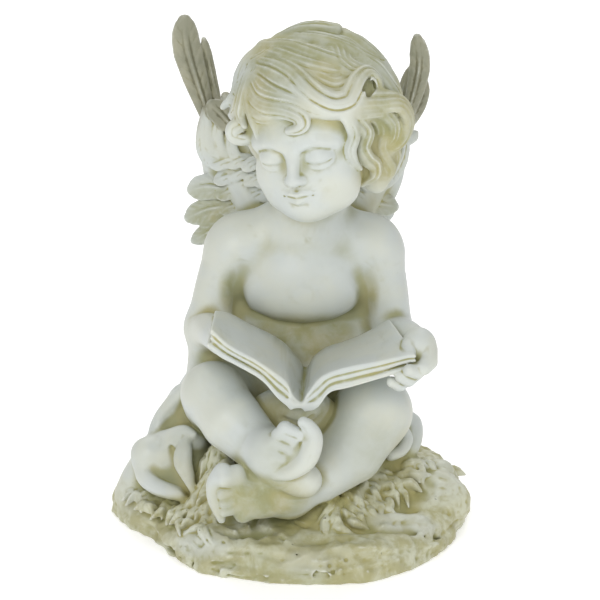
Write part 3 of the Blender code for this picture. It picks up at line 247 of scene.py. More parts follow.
def part_of(axis, first, last):
    """An index that takes first to last along one axis of a grid, and all of the others."""
    index = [slice(None)] * 3
    index[axis] = slice(first, last)
    return tuple(index)


def softened(field, step):
    """The field near its surface with edges and valleys eased over about a cell, so that they skin without
    notches."""
    field = np.clip(field, -1.5 * step, 1.5 * step)
    for axis in range(3):
        eased = field.copy()
        beside = field[part_of(axis, 0, -2)] + field[part_of(axis, 2, None)]
        eased[part_of(axis, 1, -1)] = 0.5 * field[part_of(axis, 1, -1)] + 0.25 * beside
        field = eased
    return field


def means(owners, rows, count):
    """The mean of the rows of each of count owners."""
    owners = owners.ravel()
    sums = [np.bincount(owners, weights=rows[:, k], minlength=count) for k in range(3)]
    return np.stack(sums, 1) / np.bincount(owners, minlength=count)[:, None]


def skin(clay):
    """Vertices and quads of the zero level: one vertex in each cell that the surface crosses, at the mean
    of its crossings."""
    inside = clay.field < 0
    _, deep, high = clay.size - 1
    ids, points, flips = [], [], []
    for axis, u, v in ((0, 1, 2), (1, 0, 2), (2, 0, 1)):
        index = np.argwhere(inside[part_of(axis, 0, -1)] != inside[part_of(axis, 1, None)])
        ahead = index.copy()
        ahead[:, axis] += 1
        a, b = clay.field[tuple(index.T)], clay.field[tuple(ahead.T)]
        point = index.astype(np.float32)
        point[:, axis] += a / (a - b)
        points.append(np.repeat(point, 4, axis=0))
        around = []
        for du, dv in ((-1, -1), (0, -1), (0, 0), (-1, 0)):
            cell = index.copy()
            cell[:, u] += du
            cell[:, v] += dv
            around.append((cell[:, 0] * deep + cell[:, 1]) * high + cell[:, 2])
        ids.append(np.stack(around, 1))
        # a quad around the first or third axis runs counter-clockwise seen from its positive end
        flips.append(a < 0 if axis == 1 else a >= 0)
    unique, inverse = np.unique(np.concatenate(ids), return_inverse=True)
    vertices = means(inverse, np.concatenate(points), len(unique))
    quads = inverse.reshape(-1, 4)
    flips = np.concatenate(flips)
    quads[flips] = quads[flips][:, ::-1]
    return (vertices * clay.step + clay.low).astype(np.float32), quads.astype(np.int32)


def relaxed(vertices, quads):
    """The surface with every vertex drawn halfway towards the middle of the faces round it."""
    middles = np.repeat(vertices[quads].mean(1), 4, axis=0)
    return (0.5 * vertices + 0.5 * means(quads, middles, len(vertices))).astype(np.float32)


def sample(clay, grid, points):
    """Trilinear values of a grid at points."""
    q = (points - clay.low) / clay.step
    i = np.clip(np.floor(q).astype(int), 0, np.array(grid.shape) - 2)
    f = (q - i).astype(np.float32)
    found = 0
    for corner in np.ndindex(2, 2, 2):
        found = found + grid[tuple((i + corner).T)] * np.where(corner, f, 1 - f).prod(1)
    return found


def largest_body(vertices, faces):
    """The body with the most faces, counting only shared edges as a connection: hidden hollows and crumbs
    go."""
    ends = np.stack([faces, np.roll(faces, -1, axis=1)], axis=2).reshape(-1, 2)
    ends = np.sort(ends, axis=1).astype(np.int64)
    edge = np.unique(ends[:, 0] * len(vertices) + ends[:, 1], return_inverse=True)[1].reshape(-1)
    owner = np.repeat(np.arange(len(faces)), faces.shape[1])
    label = np.arange(len(faces))
    while True:
        lowest = np.full(edge.max() + 1, len(faces))
        np.minimum.at(lowest, edge, label[owner])
        new = label.copy()
        np.minimum.at(new, owner, lowest[edge])
        new = new[new]
        if (new == label).all():
            break
        label = new
    kept = faces[label == np.bincount(label).argmax()]
    used, renumbered = np.unique(kept, return_inverse=True)
    return vertices[used], renumbered.reshape(kept.shape)


# the middle of the head and its turn; the cap of the hair, in the head's own axes
HEAD = vec(15.5, -13, 257.5)
HEAD_TURN = turn(-20, 8, -8)
CAP = vec(-1, 10, 9)
CAP_RADII = vec(46.5, 49, 45)

BASE_MIDDLE = (0, -5)
# radius of the base every 30 degrees from +X, and the height of its shoulder
RIM = (112, 114, 105, 100, 105, 112, 115, 98, 104, 105, 112, 112)
RIM_HEIGHT = 15
# how much higher the ground stands in the middle
SWELL = 15
# nothing of the ground stands higher than this
GROUND_TOP = 60
# heaps of the ground: middle, radii and height
HEAPS = (
    ((90, -22), (24, 24), 11),      # under the boulder
    ((86, 38), (30, 30), 2),
    ((-84, 20), (34, 34), 4),
    ((-46, -40), (14, 17), 34),     # between the folds and the lower foot
)
# the bank under the crossed legs: its two ends, how wide it is and how high
LEG_BANK = ((20, -62), (72, -20), 14, 8)

# joints of the figure, "left" being the -X side
SHOULDERS = {"left": (-33, 12, 175), "right": (51, 12, 174)}
ARMS = {
    "left": [
        (-37, 11, 171, 17.5), (-45, 5, 152, 15), (-50, 1, 137, 13.5), (-53, -3, 126, 12.5),
        (-50, -24, 132, 10), (-42, -54, 136, 8)
    ],
    "right": [
        (54, 11, 168, 17.5), (60, 6, 147, 14.5), (63, 2, 130, 13.5), (67, -10, 124, 12.5),
        (72, -30, 129, 11.5), (79, -54, 133, 9.5)
    ],
}
HIPS = {"left": (-20, 22, 62), "right": (34, 22, 60)}
KNEES = {"left": (-48, -40, 96), "right": (52, -38, 83)}
ANKLES = {"left": (-11, -80, 71), "right": (-3, -72, 42)}

# the cloth round the seat behind, from the waist down: middle y, radii, height, thickness and share of each
# fold's sway
SKIRT = (
    (26, (40, 32), 86, 4, 0), (31, (56, 46), 62, 6, 1), (31, (66, 53), 40, 7.5, 0.4),
    (28, (74, 58), 20, 8, -1)
)
SKIRT_X = 2

# the open book: its near and far edges, its two ends, how far the end on the +X side draws in towards the
# far edge, and the cover
BOOK_FRONT, BOOK_BACK = -86, -25
BOOK_LEFT, BOOK_RIGHT = -47, 75
BOOK_TAPER = 13.5
COVER_THICK = 2.6
# how far the cover stands out past the pages along the edges and at the ends, and how far under them it lies
COVER_RIM, COVER_END, COVER_GAP = 1.5, 2.2, 2.2
# corners of the room that the book takes up
BOOK_LOW, BOOK_HIGH = (-60, -95, 95), (86, -15, 168)
# fine lines of the leaf edges: how many, and how deep
PAGE_LINES, LINE_DEPTH = 3.0, 0.9


def rim_radius(angle):
    """Radius of the base at an angle, eased between the named radii every 30 degrees."""
    q = (angle / (2 * math.pi) * 12) % 12
    i = np.floor(q).astype(int)
    f = q - i
    f = f * f * (3 - 2 * f)
    table = np.array(RIM, np.float32)
    return table[i % 12] * (1 - f) + table[(i + 1) % 12] * f


def ground(x, y):
    """Height of the ground: it swells towards the seat and is heaped up in places."""
    px, py = x - BASE_MIDDLE[0], y - BASE_MIDDLE[1]
    inner = np.hypot(px, py) / rim_radius(np.arctan2(py, px))
    top = RIM_HEIGHT + SWELL * np.clip(1 - inner, 0, 1) ** 0.8
    for (heap_x, heap_y), (long, deep), high in HEAPS:
        top = top + high * np.exp(-(((x - heap_x) / long) ** 2 + ((y - heap_y) / deep) ** 2))
    (ax, ay), (bx, by), wide, high = LEG_BANK
    t = np.clip(((x - ax) * (bx - ax) + (y - ay) * (by - ay)) / ((bx - ax) ** 2 + (by - ay) ** 2), 0, 1)
    aside = np.hypot(x - ax - (bx - ax) * t, y - ay - (by - ay) * t)
    return top + high * np.exp(-((aside / wide) ** 2))


# how softly the side turns over into the top, and how much less than a distance their field may grow, because
# the noise makes it steeper
SHOULDER = 17.0
EASED = 0.85
# worn ledges round the front: rows of x, y, z, width, and depth of the hollow, or of the lip below zero
LEDGES = (
    ([(46, -68, 23), (58, -66, 24), (70, -60, 21), (81, -57, 16), (90, -54, 9), (99, -48, 2)], 3.6, -3.4),
    ([(37, -80, 21), (49, -80, 20), (63, -78, 20), (72, -73, 16), (81, -70, 11), (93, -62, 5)], 2.8, 3.4),
    ([(27, -97, 18), (38, -98, 18), (51, -96, 18), (62, -89, 17), (71, -82, 17)], 4.2, -2.6),
    ([(70, -88, 10), (83, -78, 9), (96, -66, 7)], 3.2, -2.2),
    ([(-78, -63, 8), (-65, -73, 13), (-52, -84, 16), (-36, -92, 16), (-21, -96, 17)], 3.8, -2.8),
    ([(-90, -47, 6), (-79, -62, 4), (-66, -76, 1)], 3.0, 2.8),
    ([(-58, -86, 4), (-40, -98, 8), (-24, -104, 9)], 3.0, 2.0),
    ([(-17, -97, 18), (-9, -98, 17), (1, -101, 15)], 2.8, -2.4),
    ([(25, -79, 23), (26, -90, 21), (28, -98, 17)], 2.4, -2.2),
    ([(-105, -14, 10), (-98, -34, 9), (-88, -44, 11)], 3.5, -2.4),
)
# where the noise of the thin layers starts: it runs with the radius and the height from there
LAYER_START = (94.945, -4.997)
# seams round the side: height, first and last angle, depth
SEAMS = ((5, 222, 300, 1.4), (11, 268, 345, 1.5), (6, 20, 160, 1.4))
# scoops out of the front edge: middle and radii
SCOOPS = (((13, -93, 25), (15, 5, 7)), ((-22, -83, 21), (12, 6, 6)), ((55, -105, 17), (15, 6, 7)))
# short cracks and one deep one: rows of x, y, z, width and depth
CRACKS = (
    ([(-5, -89, 22), (-1, -95, 18)], 1.1, 2.6),
    ([(4, -73, 23), (10, -77, 22)], 1.1, 2.6),
    ([(95, -42, 15), (99, -38, 16)], 1.1, 2.6),
    ([(75, -50, 21), (75, -55, 18)], 1.1, 2.6),
    ([(-41, -90, 18), (-38, -91, 17)], 1.1, 2.6),
    ([(-54, -66, 19), (-50, -72, 18)], 1.1, 2.6),
    ([(-21, -64, 23), (-23, -73, 21), (-21, -81, 20)], 2.2, 4.5),
)
PITS = (
    (16, -109, 8), (26, -109, 8), (24, -107, 11), (4, -102, 15), (-36, -100, 9), (-59, -90, 3),
    (34, -105, 14)
)
# the boulder and the lump before it: middle, radii, turn, blend, and a flat face by offset and normal
BOULDERS = (
    ((93, -26, 16), (22, 20, 17), (20, 12), 3, (0, -9, 9), (-0.15, -0.6, 1)),
    ((87, -34, 14), (17, 14, 11), (-15, 20), 2, (0, -6, 5), (-0.5, -0.7, 1)),
)


def base(clay):
    where, (x, y, z) = clay.window(LOW_CORNER, (*HIGH_CORNER[:2], GROUND_TOP))
    px, py = x - BASE_MIDDLE[0], y - BASE_MIDDLE[1]
    rho = np.hypot(px, py)
    angle = np.arctan2(py, px)
    rim = rim_radius(angle)
    inner = rho / rim
    rough = 2.4 * lattice_noise(px, py, vec(3), 26, 5) + 1.5 * lattice_noise(px, py, vec(9), 12, 6)
    # long shelves run round the front like worn strata
    shelves = lattice_noise(angle * 55, rho * 1.6, vec(0), 14, 8)
    rough = rough + 3.0 * (0.5 - np.abs(shelves)) * np.clip((inner - 0.6) * 4, 0, 1)
    lid = z - (ground(x, y) + rough)
    side = rho - rim + 1.8 * lattice_noise(angle * 90, z, vec(0), 16, 9)
    body = -soft_min(-side, -lid, SHOULDER)
    clay.blend_in(where, body * EASED, 0)
    for middle, radii, turned, blend, offset, normal in BOULDERS:
        flat = (vec(*middle) + vec(*offset), unit(vec(*normal)))
        clay.ball(middle, radii, turn(*turned), blend, edge=flat)
    # two lumps behind the boulder
    clay.ball((97, -8, 26), (8, 7, 9), blend=3)
    clay.ball((89, -2, 28), (7, 6, 6), blend=3)
    for rows, width, depth in LEDGES:
        clay.groove(rows, width, depth)
    for height, first, last, depth in SEAMS:
        angles = np.radians(np.linspace(first, last, 40))
        reach = rim_radius(angles) - 1.0
        seam = np.stack([
            BASE_MIDDLE[0] + reach * np.cos(angles),
            BASE_MIDDLE[1] + reach * np.sin(angles),
            height + 2.5 * np.sin(4 * angles) + 1.2 * np.sin(11 * angles)
        ], 1)
        clay.stroke(seam, 1.7, depth)
    for at, radii in SCOOPS:
        clay.ball(at, radii, blend=4, cut=True)
    # the back and sides are dented in the same way, less often
    rng = np.random.default_rng(17)
    for _ in range(12):
        a = math.radians(rng.uniform(15, 165))
        reach = float(rim_radius(np.array([a]))[0]) + rng.uniform(-8, 2)
        at = (
            BASE_MIDDLE[0] + reach * math.cos(a), BASE_MIDDLE[1] + reach * math.sin(a),
            rng.uniform(12, 24)
        )
        dent = (rng.uniform(8, 15), 4, rng.uniform(4, 7))
        clay.ball(at, dent, turn(math.degrees(a) + 90), blend=4, cut=True)
    # weathered grain, thin layers and creases
    grain = lattice_noise(px, py, z, 5.0, 11) + 0.6 * lattice_noise(px, py, z, 2.6, 12)
    layers = 0.45 - np.abs(lattice_noise(LAYER_START[0], rho * 0.5, 1.6 * z + LAYER_START[1], 9.0, 13))
    creases = 0.4 - np.abs(lattice_noise(px, py, 1.5 * z, 9.0, 14))
    creases = creases + 0.3 * (0.4 - np.abs(lattice_noise(px, py, z, 4.5, 15)))
    weathered = 1.4 * layers + 1.9 * np.maximum(creases, 0)
    clay.field[where] += 0.7 * grain - weathered * np.clip((inner - 0.55) * 4, 0, 1)
    for rows, width, depth in CRACKS:
        clay.stroke(rows, width, depth)
    for at in PITS:
        clay.ball(at, 1.5, blend=0.5, cut=True)


def floor_cut(clay):
    """Everything under the floor goes."""
    _, (_, _, z) = clay.window(clay.low, clay.low + clay.step * clay.size)
    clay.field = np.maximum(clay.field, -z)


def leaf(clay, x, y, heading, long, rng):
    """A narrow leaf that arches over the ground along heading and twists to one side."""
    root = vec(x, y, 0)
    go = vec(math.cos(heading), math.sin(heading), 0)
    aside = vec(-go[1], go[0], 0)
    swerve = aside * rng.uniform(-0.45, 0.45) * long
    line = [root, root + 0.5 * long * go - 0.4 * swerve, root + long * go + swerve]
    lift = (0.0, rng.uniform(2.0, 5.0), rng.uniform(-0.5, 2.5))
    wide = long * rng.uniform(0.13, 0.21)
    rows = []
    for (px, py, _), up, share in zip(line, lift, (0.8, 1, 0.3)):
        rows.append((px, py, float(ground(px, py)) + up, wide * share, 4.0 * share))
    out = unit(vec(0, 0, 1.0) + rng.uniform(-0.7, 0.7) * aside)

    def midrib(across, along, length, up):
        return 0.9 * np.exp(-(across / 0.3) ** 2) * (up > 0)

    clay.blade(smooth_path(rows, 7), out, 0.3, midrib)


# bands of leafy tufts: where the middle of each runs, points along it, rows across it, how far apart the rows
# are, and how long a leaf is
TUFTS = (
    ([(22, -66), (35, -58), (46, -48), (58, -33), (72, -14), (87, 6)], 25, 5, 4.8, 14),
    ([(69, -20), (80, -8), (91, 2)], 8, 3, 4.5, 12.5),
    ([(-90, -28), (-79, -38), (-68, -48), (-58, -58), (-48, -74)], 14, 4, 4.4, 12),
    ([(-48, -24), (-45, -36), (-44, -48), (-46, -60)], 13, 5, 4.4, 9),
    ([(62, 76), (30, 88), (-20, 88), (-56, 76)], 16, 2, 5, 9),
)
# the leaves point away from here
TUFT_MIDDLE = (6, -5)


def grass(clay):
    """Leafy tufts crowd round the seat: thick bands on both sides in front, a thinner ring behind."""
    rng = np.random.default_rng(3)
    for line, count, rows, apart, size in TUFTS:
        for x, y in smooth_path(line, count):
            outward = math.atan2(y - TUFT_MIDDLE[1], x - TUFT_MIDDLE[0])
            for row in range(rows):
                far = (0.5 * (rows - 1) - row) * apart + rng.uniform(-2, 2)
                heading = outward + rng.uniform(-0.8, 0.8)
                long = size * rng.uniform(0.7, 1.2)
                leaf(clay, x + far * math.cos(outward), y + far * math.sin(outward), heading, long, rng)


def legs(clay):
    # the leg on the -X side: thigh out to the knee, shin back across to the middle, crossing in front
    clay.tube([(*HIPS["left"], 27), (-45, -14, 82, 24), (*KNEES["left"], 18.5)], blend=8)
    clay.tube([
        (*KNEES["left"], 18.5), (-36, -58, 86, 19.5), (-21, -72, 76, 16), (*ANKLES["left"], 13.5)
    ], blend=8)
    # the leg on the +X side: its shin passes underneath to the lower foot
    clay.tube([(*HIPS["right"], 28), (48, -10, 69, 25), (*KNEES["right"], 22.5)], blend=8)
    clay.tube([
        (*KNEES["right"], 22.5), (37, -52, 63, 21.5), (17, -62, 50, 17), (*ANKLES["right"], 13)
    ], blend=8)


def foot_up(clay):
    """The upper foot, its sole turned out: heel below, the ball and big toe curving up one side, small toes
    between."""
    # ankle, heel, arch and ball
    clay.ball((-12, -86, 77), (15, 14, 15.5), blend=7)
    clay.ball((8, -85, 58), (11.5, 11.5, 10.5), blend=3)
    clay.ball((-3, -84, 62), (15, 11, 11), blend=6)
    clay.ball((4, -90, 78), (9, 10, 13), blend=4)
    sole = [
        (-8, -95, 67, 4.2), (0, -97, 70, 5.8), (9, -98, 77, 6.6), (13, -98, 86, 6.4), (14, -97, 93, 5.4),
        (11, -97, 99, 4.4), (8, -98, 102, 3.6)
    ]
    clay.rope(sole, blend=1.4)
    toes = ((6, -96, 93, 3.8), (2, -96, 89, 3.4), (-1, -97, 84, 3.2), (-5, -97, 78, 3))
    for x, y, z, r in toes:
        clay.tube([(x, y, z, r), (x - 9, y + 4, z + 2.5, r * 1.25)], blend=1.8)
    # slits between the toes, and the furrow that parts the ball from the rest
    for x, y, z in ((4, -99, 92), (1, -100, 88), (-3, -100, 82)):
        clay.stroke([(x, y, z), (x - 6, y + 3.5, z + 2)], 1.2, 0.8)
    clay.groove([
        (7, -101, 100), (10, -102, 95), (8, -103, 90), (4, -104, 84), (-1, -103, 76), (-10, -101, 74)
    ], 1.5, 2.0)


def foot_down(clay):
    """The lower foot lies on its outer edge, toes stacked at the end, the big toe on top."""
    clay.tube([(0, -70, 39, 13), (-17, -79, 47, 12.5), (-27, -84, 50, 12)], blend=6)
    clay.ball((-22, -83, 42), (17, 10, 10), blend=6)
    clay.tube([(-33, -88, 64, 5.5), (-31, -88, 47, 6.5), (-29, -88, 36, 5)], blend=4)
    strip = [
        (-41, -90, 66, 5.6), (-46, -90, 58, 5), (-46, -91, 48, 4.4), (-43, -91, 39, 3.6),
        (-42, -90, 34, 2.6)
    ]
    clay.rope(strip, blend=2.0)
    clay.tube([(-40, -93, 63, 5.6), (-33, -89, 61, 6.2)], blend=2)
    toes = ((-41, -94, 53, 3.8), (-40, -94, 47, 3.5), (-40, -94, 41, 3.1))
    for x, y, z, r in toes:
        clay.tube([(x, y, z, r), (x + 9, y + 4, z + 0.5, r * 1.15)], blend=0.8)


def torso(clay):
    # chest: a broad barrel, fullest along its lower edge
    clay.ball((8, 12, 160), (42, 24, 30), blend=10)
    clay.ball((8, 6, 160), (38, 26, 25), turn(0, 14, 0), blend=12)
    clay.tube([
        (-17, 1, 151, 14), (-6, -2, 148, 15), (8, -3, 147, 15.5), (22, -2, 148, 15), (33, 1, 151, 14)
    ], blend=10)
    clay.ball((8, 18, 174), (39, 22, 24), blend=10)
    clay.tube([(10, 13, 182, 24), (13, 8, 205, 22), (15, 2, 225, 24)], blend=8)
    clay.tube([(-30, 14, 178, 15), (10, 12, 194, 20), (48, 14, 177, 15)], blend=8)
    # shoulder blades
    clay.ball((-14, 30, 165), (14, 10, 18), turn(0, 0, -12), blend=8)
    clay.ball((30, 30, 165), (14, 10, 18), turn(0, 0, 12), blend=8)
    # belly and hips, drawn in under the chest
    clay.ball((7, 18, 118), (46, 25, 34), blend=3)
    clay.ball((7, 16, 88), (44, 34, 34), blend=9)
    # the furrow down the back, and the fold over the belly
    clay.groove([(8, 40, 190), (8, 45, 165), (8, 46, 130), (8, 50, 95)], 7, 2.5)
    clay.groove([(-32, -4, 133), (-18, -10, 127), (6, -12, 124), (29, -10, 127), (41, -4, 133)], 4, 1.6)
    # the inner sides of the arms stay joined to the body
    for side in (-1, 1):
        clay.ball((8 + 40 * side, 14, 134), (14, 13, 30), blend=6)


def arms(clay):
    for side in ("left", "right"):
        clay.ball(SHOULDERS[side], (20, 20, 21), blend=9)
        clay.rope(ARMS[side], blend=6)
    # the elbow on the -X side rests against the hip
    clay.tube([(-52, 2, 122, 13), (-49, 5, 98, 17)], blend=12)
    armpits = (
        [(-31, -12, 166), (-34, -8, 154), (-32, -4, 142)],
        [(43, -12, 164), (45, -8, 152), (44, -4, 137)]
    )
    for rows in armpits:
        clay.groove(rows, 4.5, 3.5)


def hand(clay):
    """The hand on the +X side: thumb over the page, fingers curled round the edge of the cover."""
    clay.ball((78, -68, 139), (10.5, 12, 11.5), turn(0, 20, -20), blend=4)
    # the thumb, then the fingers from the first to the last
    digits = (
        [(75, -62, 142, 5), (71, -74, 142, 4.2), (72, -80, 139, 3.6)],
        [(82, -72, 138, 7), (83, -80, 134, 5.6), (80, -85, 132, 4.6)],
        [(81, -76, 132, 4.6), (76, -85, 129, 4.2), (71, -89, 132, 3.8)],
        [(77, -76, 126, 4.6), (71, -83, 123, 4.1), (66, -87, 127, 3.6)],
        [(71, -72, 120, 4.4), (66, -79, 118, 3.8), (61, -83, 122, 3.4)],
    )
    for digit in digits:
        clay.tube(digit, blend=0.8)


# heights of the open book, as rows of x and z: the top of the pages along the near and the far edge, and the
# cover along the near edge
NEAR_PAGES = (
    (-46, 157), (-36, 147), (-21, 138), (-10, 130), (-2, 123), (2, 114), (7, 110), (10, 115), (16, 124),
    (23, 129), (35, 133), (54, 137), (70, 141)
)
FAR_PAGES = (
    (-46, 146), (-37, 144), (-25, 137), (-13, 131), (-3, 124), (5, 114), (10, 108), (15, 116), (23, 122),
    (32, 125), (42, 129), (51, 134), (62, 141)
)
COVER = (
    (-52, 150), (-41, 141), (-31, 135), (-17, 126), (-7, 114), (0, 109), (5, 108), (11, 107), (17, 109),
    (24, 118), (35, 121), (54, 127), (72, 133)
)


def pages_and_cover(x, depth):
    """Heights of the pages' top and of the cover over the floor, lofted from the near edge (depth 0) to the
    far edge (1)."""
    near, far, cover = (smooth_path(rows, 97) for rows in (NEAR_PAGES, FAR_PAGES, COVER))
    for edge in (near, cover):
        rows = (edge + d * (far - near) for d in depth)
        heights = [np.interp(x, row[:, 0], row[:, 1]) for row in rows]
        yield np.array(heights, np.float32).T[:, :, None]


def book(clay):
    """An open book: two S-curved stacks of pages over a thin cover."""
    where, (x, y, z) = clay.window(BOOK_LOW, BOOK_HIGH)
    depth = np.clip((y - BOOK_FRONT) / (BOOK_BACK - BOOK_FRONT), 0, 1)
    top, low = pages_and_cover(x[:, 0, 0], depth[0, :, 0])
    steep = np.sqrt(1 + np.gradient(top, clay.step, axis=0) ** 2)
    ends = np.maximum(BOOK_LEFT - x, x - BOOK_RIGHT + BOOK_TAPER * depth)
    front, back = BOOK_FRONT - y, y - BOOK_BACK
    pages = np.maximum((z - top) / steep, (low + COVER_GAP - z) / steep)
    pages = np.maximum(pages, np.maximum(np.maximum(front, back), ends))
    # leaf edges show as fine lines along the near side
    layer = (top - z) / np.maximum(top - low, 2)
    lines = LINE_DEPTH * np.sin(layer * 2 * math.pi * PAGE_LINES + 1.0)
    near_edge = np.exp(-np.minimum(np.abs(front), 4) ** 2 / 4)
    pages = pages + lines * near_edge * (layer > 0.1)
    clay.blend_in(where, pages, 0.6)
    board = np.abs(z - low) / steep - 0.5 * COVER_THICK
    board = np.maximum(board, np.maximum(np.maximum(front, back) - COVER_RIM, ends - COVER_END))
    clay.blend_in(where, board, 0.5)


def drapery(clay):
    """Cloth spread under the figure: deep folds on the -X side, a lobe by the +X knee, a skirt of folds
    behind."""
    # the mass of the cloth on the -X side
    clay.ball((-52, 22, 52), (26, 28, 40), blend=8)
    clay.ball((-66, 12, 26), (28, 26, 26), blend=8)
    clay.ball((-70, -15, 36), (23, 20, 28), blend=6)
    clay.ball((-63, -25, 30), (15, 19, 16), blend=6)
    # the sheet that falls from the thigh: a rolled outer edge, a shallow hollow, and a hem
    clay.ball((-67, -2, 66), (14, 10, 20), turn(20, -20, 0), blend=6)
    clay.rope([
        (-65, -8, 86, 5), (-75, -7, 76, 5), (-83, -7, 65, 5), (-86, -10, 55, 5.5), (-82, -14, 53, 5)
    ], blend=4)
    clay.rope([(-81, -20, 57, 2.6), (-75, -23, 62, 3), (-67, -26, 65, 3), (-61, -30, 64, 2)], blend=8)
    clay.ball((-67, -22, 56), (14, 11, 10), blend=4)
    clay.groove([(-64, -20, 85), (-70, -16, 75), (-76, -16, 66)], 6, 2.5)
    # the outer fold: a rounded mound whose edge turns under and runs on along the ground, with a hollow
    # inside
    clay.rope([
        (-88, -12, 47, 7.5), (-92, -13, 37, 10.5), (-97, -14, 25, 12.5), (-102, -12, 14, 12)
    ], blend=4)
    clay.ball((-90, -22, 47), (12, 11, 11), blend=5)
    clay.rope([
        (-94, -26, 42, 6), (-92, -33, 36, 6), (-85, -39, 32, 5.5), (-77, -44, 31, 5), (-69, -48, 30, 4)
    ], blend=5)
    clay.ball((-79, -25, 41), (12, 9.5, 13), blend=4)
    # a narrow fold beside the leg, parted from the hollow by a deep valley
    clay.blade(smooth_path([
        (-65, -30, 60, 2, 3), (-67, -36, 56, 5.5, 3.6), (-68, -40, 49, 6.5, 4), (-65, -44, 42, 5, 4),
        (-62, -48, 35, 2.5, 3)
    ], 16), unit(vec(-0.35, -1, 0.3)), 2.5)
    valleys = (
        ([(-75, -29, 55), (-74, -35, 51), (-73, -39, 45), (-70, -44, 39), (-66, -48, 33)], 1.8, 3.2),
        ([(-60, -36, 61), (-60, -43, 54), (-59, -47, 46), (-57, -52, 38)], 1.5, 3.0),
    )
    for rows, width, depth in valleys:
        clay.groove(rows, width, depth)
    # the lobe beside the +X knee, folded over once
    clay.rope([
        (68, -4, 58, 8), (76, 2, 57, 8.5), (76, -4, 50, 9), (72, -12, 44, 8.5), (65, -16, 41, 7)
    ], blend=5)
    clay.rope([
        (68, -14, 64, 4), (72, -14, 60, 4), (74, -17, 54, 4.4), (70, -23, 49, 4.2), (64, -27, 48, 3.6)
    ], blend=2.5)
    clay.groove([(76, -12, 65), (79, -13, 55), (76, -19, 48), (69, -25, 45)], 1.6, 3.0)
    clay.ball((60, 6, 30), (18, 22, 16), blend=6)
    # cloth fills the space under the crossed legs and the lap
    clay.ball((34, -14, 34), (34, 28, 16), blend=6)
    clay.ball((4, -18, 58), (34, 28, 24), blend=6)
    clay.ball((46, 18, 34), (30, 30, 28), blend=8)
    clay.ball((6, 34, 50), (54, 42, 40), blend=8)
    # cloth wrapped round the seat behind, in a few loose folds
    clay.ball((2, 36, 34), (66, 52, 46), blend=8)
    rng = np.random.default_rng(21)
    for k in range(8):
        a = math.radians(14 + 22 * k + rng.uniform(-5, 5))
        sway = rng.uniform(-0.14, 0.14)
        loose = rng.uniform(0.8, 1.25)
        fold = []
        for middle, (long, deep), height, thick, swayed in SKIRT:
            turned = a + swayed * sway
            fold.append((
                SKIRT_X + long * math.cos(turned), middle + deep * math.sin(turned), height, thick * loose
            ))
        clay.rope(fold, blend=8)
    # its upper edge, rolled round the waist
    hem = [
        (4 + 40 * math.cos(a), 24 + 33 * math.sin(a), 90 + 3 * math.sin(3 * a), 4.5)
        for a in np.radians(np.arange(-10, 191, 12))
    ]
    clay.tube(hem, blend=5)
    # cloth in the lap under the book
    clay.ball((1, -40, 83), (28, 16, 17), blend=7)
    clay.rope([
        (-9, -48, 90, 3), (-3, -54, 90, 4.6), (5, -57, 90, 5), (12, -56, 91, 4.6), (18, -50, 93, 3)
    ], blend=7)
    clay.groove([(-4, -59, 87), (2, -61, 85), (8, -61, 85), (13, -59, 89)], 1.8, 2.4)


